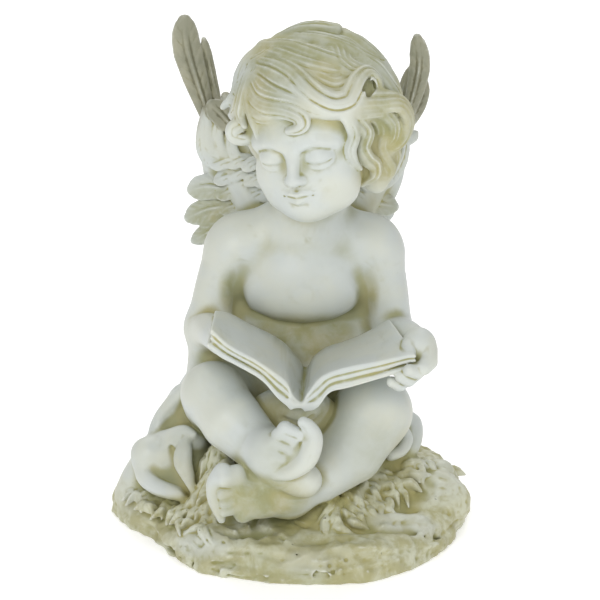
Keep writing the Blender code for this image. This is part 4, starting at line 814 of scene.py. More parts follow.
def head(clay):
    def at(*p):
        return HEAD + HEAD_TURN @ vec(*p)

    def ball(c, r, blend=5.0, cut=False):
        clay.ball(at(*c), r, HEAD_TURN, blend, cut)

    def tube(rows, blend=2.0):
        clay.tube([(*at(*row[:3]), row[3]) for row in rows], blend)

    def stroke(rows, width, depth):
        clay.stroke([at(*row) for row in rows], width, depth)

    # skull, forehead and jaw
    ball((0, 7, 10), (40, 44, 39), 0)
    ball((0, -12, 14), (33, 30, 27), 8)
    ball((0, -12, -12), (32, 30, 29), 9)
    # cheeks, upper lip, chin
    for s in (-1, 1):
        ball((16 * s, -25, -17), (15, 14, 14), 9)
        ball((14 * s, -20, -28), (13, 13, 11), 9)
    ball((0, -33, -24), (13, 11, 11), 9)
    ball((0, -22, -31), (25, 17, 12), 9)
    ball((0, -32, -35), (11.5, 10, 8), 10)
    # brows, hollows and eyes
    for s in (-1, 1):
        tube([(7 * s, -40, 6, 2.6), (16 * s, -38.5, 8.5, 2.6), (25 * s, -31, 6, 2.6)], 8)
        ball((14.2 * s, -45, -1), (9.5, 5.5, 6), 7, cut=True)
        eye = (14.2 * s, -33.2, -1.6)
        ball(eye, (8.4, 8.2, 8.2), 2.0)
        # lowered lids: the upper one ends below the middle, the lower one rises to meet it at the corners
        for droop, side in ((9, 1), (33, -1)):
            a = math.radians(droop)
            down = HEAD_TURN @ vec(0, side * math.sin(a), -side * math.cos(a))
            clay.ball(at(*eye), (9.8, 9.3, 8.8), HEAD_TURN, 1.2, edge=(at(*eye), down))
    # nose
    tube([(0, -39, 6, 3.4), (0, -42.5, -3, 3.3), (0, -46, -10, 3.5)], 4)
    ball((0, -46.4, -12.4), (4.3, 4.2, 3.8), 2.5)
    for s in (-1, 1):
        ball((4.3 * s, -43.6, -13.4), (2.7, 3.4, 2.5), 2)
    # lips
    tube([
        (-8.8, -41.6, -22.6, 1.2), (-3.8, -44.6, -21.3, 1.9), (0, -45.4, -21.9, 1.8),
        (3.8, -44.6, -21.3, 1.9), (8.8, -41.6, -22.6, 1.2)
    ], 2)
    tube([(-6.6, -42.4, -24.6, 1.3), (0, -44.6, -25.8, 2.5), (6.6, -42.4, -24.6, 1.3)], 2)
    # creases over the lids, nostrils, corners of the mouth
    for s in (-1, 1):
        fold = smooth_path([(6.8 * s, -40.6, 3.2), (14 * s, -41.6, 6.4), (22.5 * s, -36.5, 3.4)], 12)
        stroke(fold, 1.1, 0.8)
        ball((2.3 * s, -45.0, -15.6), (1.2, 1.5, 1.0), 0.6, cut=True)
        stroke([(9.0 * s, -41.6, -23.1), (9.8 * s, -40.8, -23.3)], 1.3, 0.8)
    # the line between the lips, and the hollows above and below them
    line = smooth_path([
        (-9.2, -41.4, -23.1), (-4.0, -45.2, -23.2), (0, -46.2, -23.7), (4.0, -45.2, -23.2),
        (9.2, -41.4, -23.1)
    ], 14)
    stroke(line, 1.1, 1.1)
    stroke([(0, -45, -16.8), (0, -45, -19.6)], 1.4, 0.6)
    stroke([(-4.5, -43, -29.2), (4.5, -43, -29.2)], 2.3, 0.9)


def on_cap(lon, lat, lift):
    """A place over the cap of the hair and the way out there, from degrees round and up and a lift."""
    a, b = math.radians(lon), math.radians(lat)
    d = vec(math.sin(a) * math.cos(b), -math.cos(a) * math.cos(b), math.sin(b))
    radius = 1 / math.sqrt(float(np.sum((d / CAP_RADII) ** 2)))
    return HEAD + HEAD_TURN @ (CAP + d * (radius + lift)), HEAD_TURN @ d


def on_head(rows):
    """Rows for a lock that lies on the head."""
    return [np.concatenate(on_cap(*row)) for row in rows]


def round_middle(rows, middle):
    """Rows for a lock that leaves the head and winds round a middle."""
    return [np.concatenate([vec(*row), vec(*row) - vec(*middle)]) for row in rows]


def strand_relief(strands, depth, seed):
    """Rounded strands with sharper valleys between them, unevenly spaced across a lock."""
    def relief(across, along, length, up):
        q = 0.5 * strands * (
            across + 0.13 * np.sin(2.6 * across + seed) + 0.09 * np.sin(0.11 * along + 1.7 * seed)
        )
        ridge = np.sqrt(np.sin(math.pi * q) ** 2 + 0.04)
        uneven = 0.55 + 0.45 * np.sin(2.9 * q + seed)
        ends = np.clip(along / 6, 0, 1) * np.clip((length - along) / 4, 0.2, 1)
        rims = np.clip(1.4 - np.abs(across), 0, 1)
        return depth * (1 - ridge**1.4) * uneven * ends * rims * np.clip(up + 0.5, 0, 1)

    return relief


def lock(clay, line, width, thick, strands, tip, depth, seed, root=0.75, lean=0):
    """A wavy lock of hair, grooved into strands, through rows of x, y, z and the way out of the head. root
    and tip are its shares of the width at both ends. lean tips it about its run, so that one edge stands
    over its neighbour."""
    line = smooth_path(line, 5 * len(line))
    t = np.linspace(0, 1, len(line))
    swell = np.interp(t, (0, 0.3, 0.7, 1), (root, 1, 0.9, tip))
    path = np.column_stack([line[:, :3], swell * width, (0.4 + 0.6 * swell) * thick])
    ahead = units(np.gradient(path[:, :3], axis=0))
    out = units(line[:, 3:])
    out = units(out + math.tan(math.radians(lean)) * np.cross(ahead, out))
    clay.blade(path, out, 1.6, strand_relief(strands, depth, seed))


# locks over the front and the crown: rows of longitude, latitude and lift, then half width, half
# thickness, strands, lean and the share of the width left at the tip
FRONT_LOCKS = (
    # crest over the crown
    ([(-102, 59, 3.6), (-125, 67, 4.2), (-159, 78, 6), (150, 74, 6.5), (132, 65, 6.5)], 6, 4.5, 3, 0, 0.7),
    # sweeps from the parting on the -X side over to the pinch on the +X side
    ([(-116, 64, 4.1), (-171, 87, 2), (87, 72, 2.5), (89, 57, 2.5), (92, 44, 2.5),
      (103, 31, 3)], 8, 4.4, 4, 0, 0.3),
    ([(-98, 57, 6.2), (-61, 75, 2.5), (21, 70, 3), (48, 59, 3), (62, 49, 2.5),
      (69, 41, 1.5)], 7, 4, 4, -10, 0.3),
    ([(-93, 53, 3.3), (-27, 66, 3), (11, 60, 3), (32, 52, 2.5), (48, 45, 2),
      (63, 41, 1)], 7.5, 4, 4, -8, 0.3),
    # the broad wave that rolls down over the brow and rises into a loop
    ([(-88, 47, 2.9), (-20, 55, 4), (5, 47, 5), (18, 36, 5.5), (27, 28, 5.5), (36, 22, 5.5), (46, 21, 5.5),
      (53, 25, 6), (61, 30, 7), (71, 32, 7.5), (75, 26, 7.5), (74, 18, 6)], 8.5, 5, 4, -8, 0.42),
    ([(9, 56, 0), (23, 45, 1), (32, 37, 1.5), (42, 32, 1.5), (53, 33, 1.5), (68, 38, 1)], 9, 4, 4, 0, 0.4),
    ([(-45, 46, 1), (-11, 40, 4), (7, 34, 4.5), (18, 28, 4.5), (29, 21, 4), (40, 15, 3),
      (50, 10, 3)], 7.5, 4.5, 4, 8, 0.3),
    # swoop over the brow on the -X side, ending in a curl
    ([(-47, 40, 1), (-22, 33, 4), (-6, 29, 5), (7, 26, 5), (17, 21, 4.5), (26, 17, 3)], 6.5, 4, 4, 10, 0.3),
    ([(-49, 36, 1), (-28, 28, 3), (-14, 24, 4.5), (1, 23, 5.5), (11, 19, 6), (13, 14, 6), (9, 11, 5.5),
      (3, 10, 5)], 5.5, 3.8, 4, 0, 0.45),
    ([(-46, 32, 1), (-31, 23, 2.5), (-21, 19, 3.5), (-11, 19, 4), (-2, 19, 4)], 4.4, 3, 3, 0, 0.4),
    # hanging strands outermost on the -X side
    ([(-96, 55, 5.6), (-85, 45, 6.1), (-78, 34, 5.5), (-68, 25, 4.5),
      (-68, 14, 10.6)], 6.5, 4.5, 4, 0, 0.2),
    ([(-89, 49, 2.8), (-63, 40, 3), (-49, 29, 4), (-48, 19, 5), (-66, 9, 5.7)], 5.4, 4, 3, 0, 0.25),
    ([(-67, 46, 1), (-47, 34, 3), (-42, 24, 4), (-42, 16, 4), (-36, 10, 4)], 5.2, 4, 3, 0, 0.25),
    ([(-52, 41, 1), (-40, 31, 2.5), (-32, 22, 3), (-27, 13, 2.5), (-25, 5, 2)], 4.4, 3.4, 3, 0, 0.3),
    # a thin lock under the edge of the long one on the +X side
    ([(30, 19, 1), (41, 14, 3.5), (53, 9, 5), (66, 6, 7), (79, 1, 8)], 3.0, 3, 2, 0, 0.6),
    # locks behind them
    ([(146, 54, 3.8), (122, 49, 3.5), (111, 40, 4), (110, 30, 5)], 7.5, 4.5, 4, 0, 0.3),
    ([(89, 44, 2), (90, 32, 4), (89, 19, 5), (94, 6, 5), (109, -9, 6.3)], 8.5, 4.5, 5, 0, 0.5),
)
# the long lock on the +X side: it leaves the head, turns over and rolls in again round a hollow
ROLL_ON_HEAD = ((36, 20, 2), (47, 18, 4.5), (59, 16, 6), (70, 13, 7.5))
ROLL_IN_AIR = (
    (64, -36, 282), (69, -32, 276), (71, -29, 269), (70, -28, 261), (66, -28, 254), (59, -27, 249)
)
ROLL_MIDDLE = (59, -30, 266)
# ringlets beside the +X cheek: rows of x, y, z, half width and half thickness
RINGLETS = (
    ([(32, -54, 278), (35, -53, 274), (38, -51, 266), (36, -51, 257), (38, -49, 250), (42, -45, 244)],
     4.0, 3.2),
    ([(35, -52, 279), (40, -49, 274), (45, -45, 266), (43, -44, 257), (46, -41, 249), (51, -36, 243),
      (51, -32, 235), (44, -28, 229)], 5.4, 3.8),
    ([(45, -43, 278), (52, -37, 272), (56, -32, 263), (55, -31, 253), (58, -28, 245), (61, -25, 238),
      (58, -21, 230), (49, -17, 223)], 5.8, 3.8),
    ([(62, -22, 251), (64, -20, 244), (62, -18, 236), (60, -14, 228)], 4.6, 3.2),
)
# tiers round the sides and back: latitude of the roots, drop, locks, first and last longitude
TIERS = (
    (74, 44, 8, 66, 298), (48, 40, 12, 66, 298), (22, 38, 11, 90, 264), (-4, 34, 10, 98, 258),
    (-24, 26, 8, 104, 252)
)


def hair(clay):
    clay.ball(HEAD + HEAD_TURN @ CAP, CAP_RADII, HEAD_TURN, 3)
    for k, (rows, width, thick, strands, lean, tip) in enumerate(FRONT_LOCKS):
        lock(clay, on_head(rows), width, thick, strands, tip, depth=2.8, seed=1.3 * k, lean=lean)
    roll = on_head(ROLL_ON_HEAD)
    for row in ROLL_IN_AIR:
        roll.append(np.concatenate([vec(*row), unit(vec(*row) - vec(*ROLL_MIDDLE) + vec(0, -6, 0))]))
    lock(clay, roll, 7.5, 4.0, 5, 0.4, depth=1.6, seed=4, root=0.8)
    clay.ball((58, -15, 257), (10, 10, 17), blend=4)
    thin = [(50, -42, 279), (57, -38, 275), (62, -34, 268), (62, -31, 259), (58, -30, 253)]
    lock(clay, round_middle(thin, (54, -10, 258)), 4.6, 3.4, 3, 0.5, depth=2.0, seed=7.0)
    # a short curl before the ear on the -X side
    short = [
        (-26, -24, 273), (-28, -26, 267), (-34, -25, 263), (-34, -24, 258), (-28, -25, 256), (-23, -27, 259)
    ]
    lock(clay, round_middle(short, (-28, 0, 255)), 5.0, 3.6, 3, 0.6, depth=2.0, seed=3.0)
    # the dark eye of the loop
    hole, _ = on_cap(67, 24, 5)
    clay.ball(hole, (4.2, 9, 6.5), HEAD_TURN, 1.0, cut=True)
    # the ringlets and the mass they lie on
    clay.ball((49, -21, 247), (12, 13, 27), HEAD_TURN, blend=5)
    for k, (rows, width, thick) in enumerate(RINGLETS):
        lock(clay, round_middle(rows, (42, 0, 242)), width, thick, 3, 0.35, depth=2.4, seed=0.6 + 2 * k)
    # wavy locks over the sides and back, all swept the same way and curling up at the ends
    rng = np.random.default_rng(9)
    for tier, (top, drop, count, first, last) in enumerate(TIERS):
        for k in range(count):
            lon = first + (last - first) * (k + 0.5 * (tier % 2)) / (count - 0.5)
            wave = rng.uniform(6, 10)
            fall = drop * rng.uniform(0.9, 1.1)
            rows = [
                (lon - 6, top, 0.0), (lon + wave, top - 0.3 * fall, 1.5),
                (lon - 0.4 * wave, top - 0.62 * fall, 2), (lon + 0.8 * wave, top - 0.95 * fall, 2.5),
                (lon + 2.2 * wave, top - fall, 3), (lon + 2.4 * wave, top - 0.82 * fall, 2.5)
            ]
            lock(clay, on_head(rows), rng.uniform(7.5, 9.5), 4.4, 4, 0.35, depth=2.4, seed=k + tier)


def feather(clay, points, width, facing=(0, -1, 0.35), thick=3.0, barbs=0.8, spacing=5.0, quill=1.0):
    """One feather through points from root to tip: a rounded blade with a raised shaft and slanting barb
    cuts."""
    path = smooth_path(points, 16)
    t = np.linspace(0, 1, len(path))
    swell = np.interp(t, (0, 0.25, 0.55, 0.8, 0.93, 1), (0.55, 0.85, 1, 0.93, 0.7, 0.4))
    path = np.column_stack([path, swell * width, (1 - 0.35 * t) * thick])

    def relief(across, along, length, up):
        front = np.clip(3 * up, 0, 1)
        off = np.abs(across)
        shaft = quill * (np.exp(-((off - 0.24) / 0.1) ** 2) - 0.8 * np.exp(-(across / 0.13) ** 2))
        slant = np.sin(2 * math.pi * (along - 1.2 * width * off) / spacing + 0.8 * np.sin(0.21 * along))
        cuts = barbs * np.maximum(slant, 0) ** 2 * np.clip(5 * off - 1.2, 0, 1) * np.clip(5 - 5 * off, 0, 1)
        return shaft * front * np.clip(2.4 - 2.4 * along / length, 0, 1) + cuts * front

    clay.blade(path, unit(facing), 0.8, relief)


def scales(clay, first, last, count, swing, width):
    """A column of small coverts with their roots on a line between two points, each reaching by swing over
    the next."""
    first, last, swing = vec(*first), vec(*last), vec(*swing)
    for t in np.linspace(1, 0, count):
        root = first + t * (last - first)
        points = [root, root + 0.5 * swing + vec(0, -1.5, 1.5), root + swing]
        feather(clay, points, width, (0, -1, 0.6), 1.8, 1.0, 3.4)


# long coverts of both wings, from the inner one outwards: points from root to tip and half width
LEFT_COVERTS = (
    ([(-37, 43, 245), (-39, 42, 233), (-37, 41, 225), (-32, 40, 218)], 6.6),
    ([(-45, 44, 251), (-48, 43, 237), (-46, 42, 226), (-40, 41, 216)], 7.0),
    ([(-53, 46, 255), (-55, 44, 239), (-54, 43, 228), (-48, 42, 218)], 6.6),
)
RIGHT_COVERTS = (
    ([(63, 43, 242), (63, 42, 230), (58, 41, 218), (52, 40, 208)], 6.2),
    ([(71, 45, 244), (71, 44, 229), (67, 43, 217), (59, 42, 204)], 6.4),
)
# columns of small coverts: first and last root, how many, reach and half width
LEFT_SCALES = (
    ((-35, 42, 223), (-30, 42, 193), 4, (-15, -2, -4), 5.6),
    ((-26, 40, 225), (-22, 40, 194), 5, (-14, -2, -5), 5.2),
    ((-17, 36, 225), (-13, 37, 195), 4, (-13, -2, -6), 5.0),
    ((-9, 33, 215), (-5, 34, 196), 3, (-12, -2, -6), 4.8),
)
# the spread lower feathers of the -X wing: points from root to tip and half width
LOWER_FEATHERS = (
    ([(-38, 42, 202), (-52, 45, 204), (-65, 48, 201)], 8.8),
    ([(-38, 42, 192), (-53, 44, 189), (-67, 47, 182)], 8.2),
    ([(-36, 38, 183), (-49, 40, 177), (-63, 43, 168)], 6.6),
)


def wings(clay):
    # the arms of the wings
    clay.tube([(-8, 30, 168, 10), (-26, 42, 196, 11), (-42, 52, 222, 10), (-50, 53, 244, 7)], blend=6)
    clay.tube([(24, 30, 168, 10), (46, 42, 196, 11), (60, 52, 222, 10), (66, 53, 244, 7)], blend=6)
    clay.ball((-38, 53, 212), (18, 7, 32), turn(0, 0, -14), blend=5)
    clay.ball((56, 53, 212), (17, 7, 32), turn(0, 0, 12), blend=5)
    # -X wing: two flight feathers, a broken quill plate before them
    tall = [(-53, 52, 250), (-62, 56, 278), (-66, 59, 294), (-67, 61, 311)]
    feather(clay, tall, 9.6, (0.2, -1, 0.3), barbs=0.7, spacing=8)
    feather(clay, [(-46, 57, 254), (-51, 61, 274), (-55, 64, 296)], 4.2, (0.5, -1, 0.3), barbs=0)
    feather(clay, [(-35, 40, 243), (-43, 42, 252), (-51, 44, 260)], 7.5, barbs=0.4)
    clay.ball((-41, 48, 263), 3.2, blend=2)
    clay.ball((-41, 52, 232), (17, 8, 27), blend=3)
    clay.ball((-26, 50, 231), (14, 8, 21), blend=4)
    # its long coverts hang down the outer edge, each over the next one inwards
    for points, width in LEFT_COVERTS:
        feather(clay, points, width, (-0.55, -1, 0.3), barbs=0.9, spacing=3.0, quill=0.35)
    for column in LEFT_SCALES:
        scales(clay, *column)
    for points, width in LOWER_FEATHERS:
        feather(clay, points, width)
    # +X wing
    feather(clay, [(71, 57, 249), (72, 61, 262), (76, 64, 277)], 4.0, (-0.5, -1, 0.3), barbs=0)
    feather(clay, [(73, 52, 240), (81, 57, 254), (86, 62, 269)], 5.4)
    tall = [(75, 50, 251), (80, 54, 269), (82, 57, 283), (80, 60, 299)]
    feather(clay, tall, 7.0, (-0.2, -1, 0.3), barbs=0.7, spacing=8)
    feather(clay, [(67, 44, 233), (75, 46, 236), (80, 48, 239)], 4.6)
    for points, width in RIGHT_COVERTS:
        feather(clay, points, width, (0.55, -1, 0.3))
    scales(clay, (45, 38, 221), (39, 36, 205), 3, (11, -2, -8), 5.2)
    feather(clay, [(44, 40, 195), (57, 43, 193), (68, 46, 190)], 7.4)
    # the backs of the wings: plainer coverts in rows
    for side, x0 in ((-1, -38), (1, 56)):
        for row in range(4):
            for k in range(3):
                x = x0 + side * (9 - 8.5 * k) - side * 2 * row
                z = 242 - 15 * row - 2.5 * k
                points = [(x, 56, z), (x + 2 * side, 61, z - 11), (x + 4 * side, 62, z - 20)]
                feather(clay, points, 6.6, (0, 1, 0.1), thick=3.2)


# works that belong together are blended among themselves first and then joined more tightly
GROUPS = (
    (base, grass), (drapery,), (legs, foot_up, foot_down, torso, arms, hand), (book,), (wings,), (head,),
    (hair,)
)
# how softly one group runs into the next
JOINT = 1.5


def statue():
    """The finished field of the whole casting."""
    clay = Clay(LOW_CORNER, HIGH_CORNER, VOXEL_MM)
    whole = clay.field
    for group in GROUPS:
        clay.field = np.full(clay.size, FAR, np.float32)
        for carve in group:
            carve(clay)
        whole = soft_min(whole, clay.field, JOINT)
    clay.field = whole
    floor_cut(clay)
    return clay


def blur(grid, reach):
    """The mean over a box of cells that reaches this many cells each way."""
    wide = 2 * reach + 1
    for axis in range(3):
        pad = [(0, 0)] * 3
        pad[axis] = (reach + 1, reach)
        total = np.pad(np.cumsum(grid, axis=axis, dtype=np.float32), pad, mode="edge")
        grid = (total[part_of(axis, wide, None)] - total[part_of(axis, 0, -wide)]) / wide
    return grid


def mesh_of(vertices, faces, name):
    mesh = bpy.data.meshes.new(name)
    mesh.vertices.add(len(vertices))
    mesh.vertices.foreach_set("co", vertices.astype(np.float32).ravel())
    mesh.loops.add(faces.size)
    mesh.loops.foreach_set("vertex_index", faces.astype(np.int32).ravel())
    mesh.polygons.add(len(faces))
    starts = np.arange(0, faces.size, faces.shape[1], dtype=np.int32)
    mesh.polygons.foreach_set("loop_start", starts)
    mesh.update(calc_edges=True)
    return mesh


def corners_of(mesh):
    """The places of a mesh's vertices, one row each."""
    places = np.empty(3 * len(mesh.vertices), np.float32)
    mesh.vertices.foreach_get("co", places)
    return places.reshape(-1, 3)


def reduced(piece, ratio):
    """The piece's mesh cut down to a share of its triangles, keeping the sharp places fine."""
    piece.modifiers.new("Triangles", "TRIANGULATE")
    reduce = piece.modifiers.new("Reduce", "DECIMATE")
    reduce.ratio = ratio
    depsgraph = bpy.context.evaluated_depsgraph_get()
    mesh = bpy.data.meshes.new_from_object(piece.evaluated_get(depsgraph))
    piece.modifiers.clear()
    triangles = np.empty(3 * len(mesh.polygons), np.int32)
    mesh.polygons.foreach_get("vertices", triangles)
    return largest_body(corners_of(mesh), triangles.reshape(-1, 3))


# places painted darker, partly painted shade where the figure shades itself and partly wash left thick:
# centre, radii and how strong it is
SHADE_AND_WASH_PLACES = (
    ((7, -6, 122), (38, 24, 20), 1.0),       # belly under the chest fold
    ((-37, 0, 152), (9, 20, 16), 0.9),       # armpits
    ((48, 0, 150), (8, 20, 18), 0.9),
    ((15, -18, 308), (50, 46, 30), 0.95),    # crown
    ((58, -26, 264), (30, 40, 40), 1.0),     # hair on the +X side
    ((-18, -86, 47), (32, 28, 22), 1.0),     # the lower foot
    ((-6, -88, 78), (18, 18, 16), 0.35),     # the upper foot
    ((2, -52, 88), (26, 18, 14), 0.9),       # lap
    ((-52, 42, 186), (18, 22, 24), 0.85),    # roots of the lower flight feathers
    ((58, 40, 190), (16, 20, 16), 0.6),
    ((12, -18, 207), (22, 22, 10), 0.55),    # neck
    ((-8, -30, 282), (34, 34, 24), 0.8),     # fringe
    ((44, -48, 66), (36, 30, 28), 0.45),     # the leg on the +X side
    ((14, -104, 8), (46, 24, 16), 0.5),      # front of the mound
    ((-66, -34, 44), (20, 22, 22), 0.35),    # cloth folds
    ((60, 0, 44), (26, 26, 20), 0.55),
    ((7, -56, 132), (8, 34, 12), 0.9),       # gutter of the book
)
# places given less painted shade and wash than the rest
LESS_SHADED_PLACES = (
    ((4, -52, 239), (32, 24, 34), 0.7),      # face
    ((-26, -58, 150), (30, 32, 22), 0.9),    # pages
    ((42, -58, 150), (36, 32, 22), 0.9),
)
# lighter patches on the boulder and flat ledges of the mound, partly painted highlight where they face the
# light and partly bare chalk: centre and radii
BARE_AND_LIT = (
    ((96, -26, 34), (20, 24, 14)), ((74, -66, 20), (34, 12, 9)), ((-60, -86, 16), (26, 16, 8)),
    ((10, -104, 12), (16, 12, 8)), ((-104, -20, 20), (16, 20, 12))
)
# x and z of both ends of the broken quills on the -X wing
QUILLS = ((-50, 259), (-33, 243))
# how far round a place its hollows are felt, in millimetres
CREVICE_REACH = 1.5
SHELTER_REACH = 9.0


def smooth_step(low, high, value):
    t = np.clip((value - low) / (high - low), 0, 1)
    return t * t * (3 - 2 * t)


def soft_ellipsoid(x, y, z, centre, radii, out, full):
    """0 outside and 1 inside, between two squares of the distance from the centre in radii."""
    (cx, cy, cz), (rx, ry, rz) = centre, radii
    return smooth_step(out, full, ((x - cx) / rx) ** 2 + ((y - cy) / ry) ** 2 + ((z - cz) / rz) ** 2)


def place_share(x, y, z, places):
    """The strongest of some soft ellipsoids at each point."""
    share = np.zeros_like(x)
    for centre, radii, strength in places:
        share = np.maximum(share, strength * soft_ellipsoid(x, y, z, centre, radii, 1.5, 0.3))
    return share


def plume_share(x, y, z):
    """1 on the bare flight feathers that stand up behind the head, and on the broken quills below those
    of the -X wing."""
    beside_head = smooth_step(30, 36, np.abs(x - 6))
    ragged = z + 4 * np.sin(0.7 * x) + 3 * np.sin(0.45 * z + x)
    feathers = beside_head * smooth_step(236, 250, ragged) * smooth_step(42, 50, y + 0.1 * (z - 240))
    (ax, az), (bx, bz) = QUILLS
    t = np.clip(((x - ax) * (bx - ax) + (z - az) * (bz - az)) / ((bx - ax) ** 2 + (bz - az) ** 2), 0, 1)
    away = np.hypot(x - ax - t * (bx - ax), z - az - t * (bz - az))
    return np.maximum(feathers, smooth_step(9, 6, away) * smooth_step(30, 36, y))


def earth_share(x, y, z):
    """1 on the mound and the tufts, 0 on the figure and its cloth."""
    share = smooth_step(3, -3, z - ground(x, y) - 12)
    # the boulder and flat ledges get less earth colour: partly painted highlight, partly bare chalk
    for centre, radii in BARE_AND_LIT:
        share = share * (1 - 0.6 * soft_ellipsoid(x, y, z, centre, radii, 1.6, 0.2))
    return share


def paint_masks(mesh, clay, solid):
    """Vertex values that the patina and the painted shade follow: how sheltered a place is, near and far, and
    which work it belongs to."""
    points = corners_of(mesh) / MM
    place = points.T
    near, far = (
        np.clip(sample(clay, blur(solid, round(reach / clay.step)), points), 0, 1)
        for reach in (CREVICE_REACH, SHELTER_REACH)
    )
    less_shaded = place_share(*place, LESS_SHADED_PLACES)
    # the wide hollows and the listed places carry painted shade as well as wash
    masks = {
        "crevice": near,
        "shelter": far - 0.1 * less_shaded,
        "plume": plume_share(*place),
        "earth": earth_share(*place),
        "shade_and_wash": place_share(*place, SHADE_AND_WASH_PLACES) * (1 - 0.9 * less_shaded),
    }
    for name, values in masks.items():
        mesh.attributes.new(name, "FLOAT", "POINT").data.foreach_set("value", values.astype(np.float32))


def statue_piece():
    clay = statue()
    solid = (clay.field < 0).astype(np.float32)
    clay.field = softened(clay.field, clay.step)
    vertices, quads = largest_body(*skin(clay))
    vertices = relaxed(vertices, quads)
    piece = bpy.data.objects.new("cherub", mesh_of(vertices * MM, quads, "cherub"))
    bpy.context.scene.collection.objects.link(piece)
    vertices, triangles = reduced(piece, TRIANGLES / (2 * len(quads)))
    piece.data = mesh_of(vertices, triangles, "cherub")
    piece.data.shade_smooth()
    paint_masks(piece.data, clay, solid)
    piece.data.materials.append(stone_finish())
    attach(piece, "root")
    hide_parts(NODE)


class Tree:
    """Short ways to add nodes to a material."""

    def __init__(self, name):
        self.material = bpy.data.materials.new(name)
        self.material.use_nodes = True
        self.tree = self.material.node_tree
        self.shader = self.tree.nodes["Principled BSDF"]

    def feed(self, node, inputs):
        """Gives a node's inputs, by name or number, their values or what they are linked to."""
        for key, given in inputs.items():
            if isinstance(given, bpy.types.NodeSocket):
                self.tree.links.new(given, node.inputs[key])
            else:
                node.inputs[key].default_value = given

    def add(self, kind, inputs, output, **settings):
        node = self.tree.nodes.new("ShaderNode" + kind)
        for key, value in settings.items():
            setattr(node, key, value)
        self.feed(node, inputs)
        return node.outputs[output]

    def share(self, name):
        return self.add("Attribute", {}, "Fac", attribute_name=name)

    def noise(self, scale, detail, roughness=0.5, distortion=0.0):
        return self.add("TexNoise", {
            "Vector": self.add("TexCoord", {}, "Object"), "Scale": scale, "Detail": detail,
            "Roughness": roughness, "Distortion": distortion
        }, "Fac")

    def ramp(self, value, low, high, out_low=0.0, out_high=1.0):
        return self.add("MapRange", {
            "Value": value, "From Min": low, "From Max": high, "To Min": out_low, "To Max": out_high
        }, "Result", clamp=True, interpolation_type="SMOOTHSTEP")

    def maths(self, operation, a, b):
        return self.add("Math", {0: a, 1: b}, 0, operation=operation)

    def times(self, a, b):
        return self.maths("MULTIPLY", a, b)

    def mix(self, factor, a, b):
        # inputs 6 and 7 and output 2 are the colours of the node
        return self.add("Mix", {"Factor": factor, 6: a, 7: b}, 2, data_type="RGBA")

    def bump(self, inputs, strength, distance):
        return self.add("Bump", {"Strength": strength, "Distance": distance, **inputs}, "Normal")


# noises of the finish: scale, detail, roughness and distortion
CLOUDY = (24, 4, 0.55)
BLOTCHY = (70, 4, 0.6, 0.4)
GRAINY = (420, 3, 0.6)
PITTED = (300, 2)
# how filled the surroundings are, near and far, where the wash starts and where it is full; in wide hollows
# it is painted shade as well as wash
CREVICE_WASH = (0.49, 0.63)
SHELTER_SHADE_AND_WASH = (0.475, 0.64)
# the most that each layer hides what lies under it
EARTH_COVER, WASH_AND_SHADE_COVER, SHELTER_COVER, QUILL_COVER, RUBBED_AND_HIGHLIGHT_COVER = 0.9, 0.92, 0.9, 0.8, 0.6
# roughness where the finish is clean and where the wash is thickest
ROUGHNESS = (0.40, 0.72)
# heights of the finest relief, in metres
GRAIN_HEIGHT = 0.0002
BLOTCH_HEIGHT = 0.0005
# colours of the finish, most as a pair that it wanders between
CHALK = ((0.545, 0.580, 0.555, 1), (0.580, 0.600, 0.530, 1))
EARTH = ((0.360, 0.340, 0.162, 1), (0.545, 0.550, 0.405, 1))
PLUME = ((0.265, 0.265, 0.190, 1), (0.335, 0.325, 0.235, 1))
# the wash colour, which also paints shade in wide hollows and where the figure shades itself
WASH_AND_SHADE = ((0.272, 0.272, 0.106, 1), (0.348, 0.316, 0.118, 1))
QUILL_LINE = (0.13, 0.125, 0.085, 1)
# lighter colour on convex edges: rubbed wear and painted highlight
RUBBED_AND_HIGHLIGHT = (0.66, 0.675, 0.61, 1)
SPECK = (0.09, 0.08, 0.05, 1)
FLOOR_TONES = ((0.92, 0.92, 0.92, 1), (0.94, 0.94, 0.94, 1))


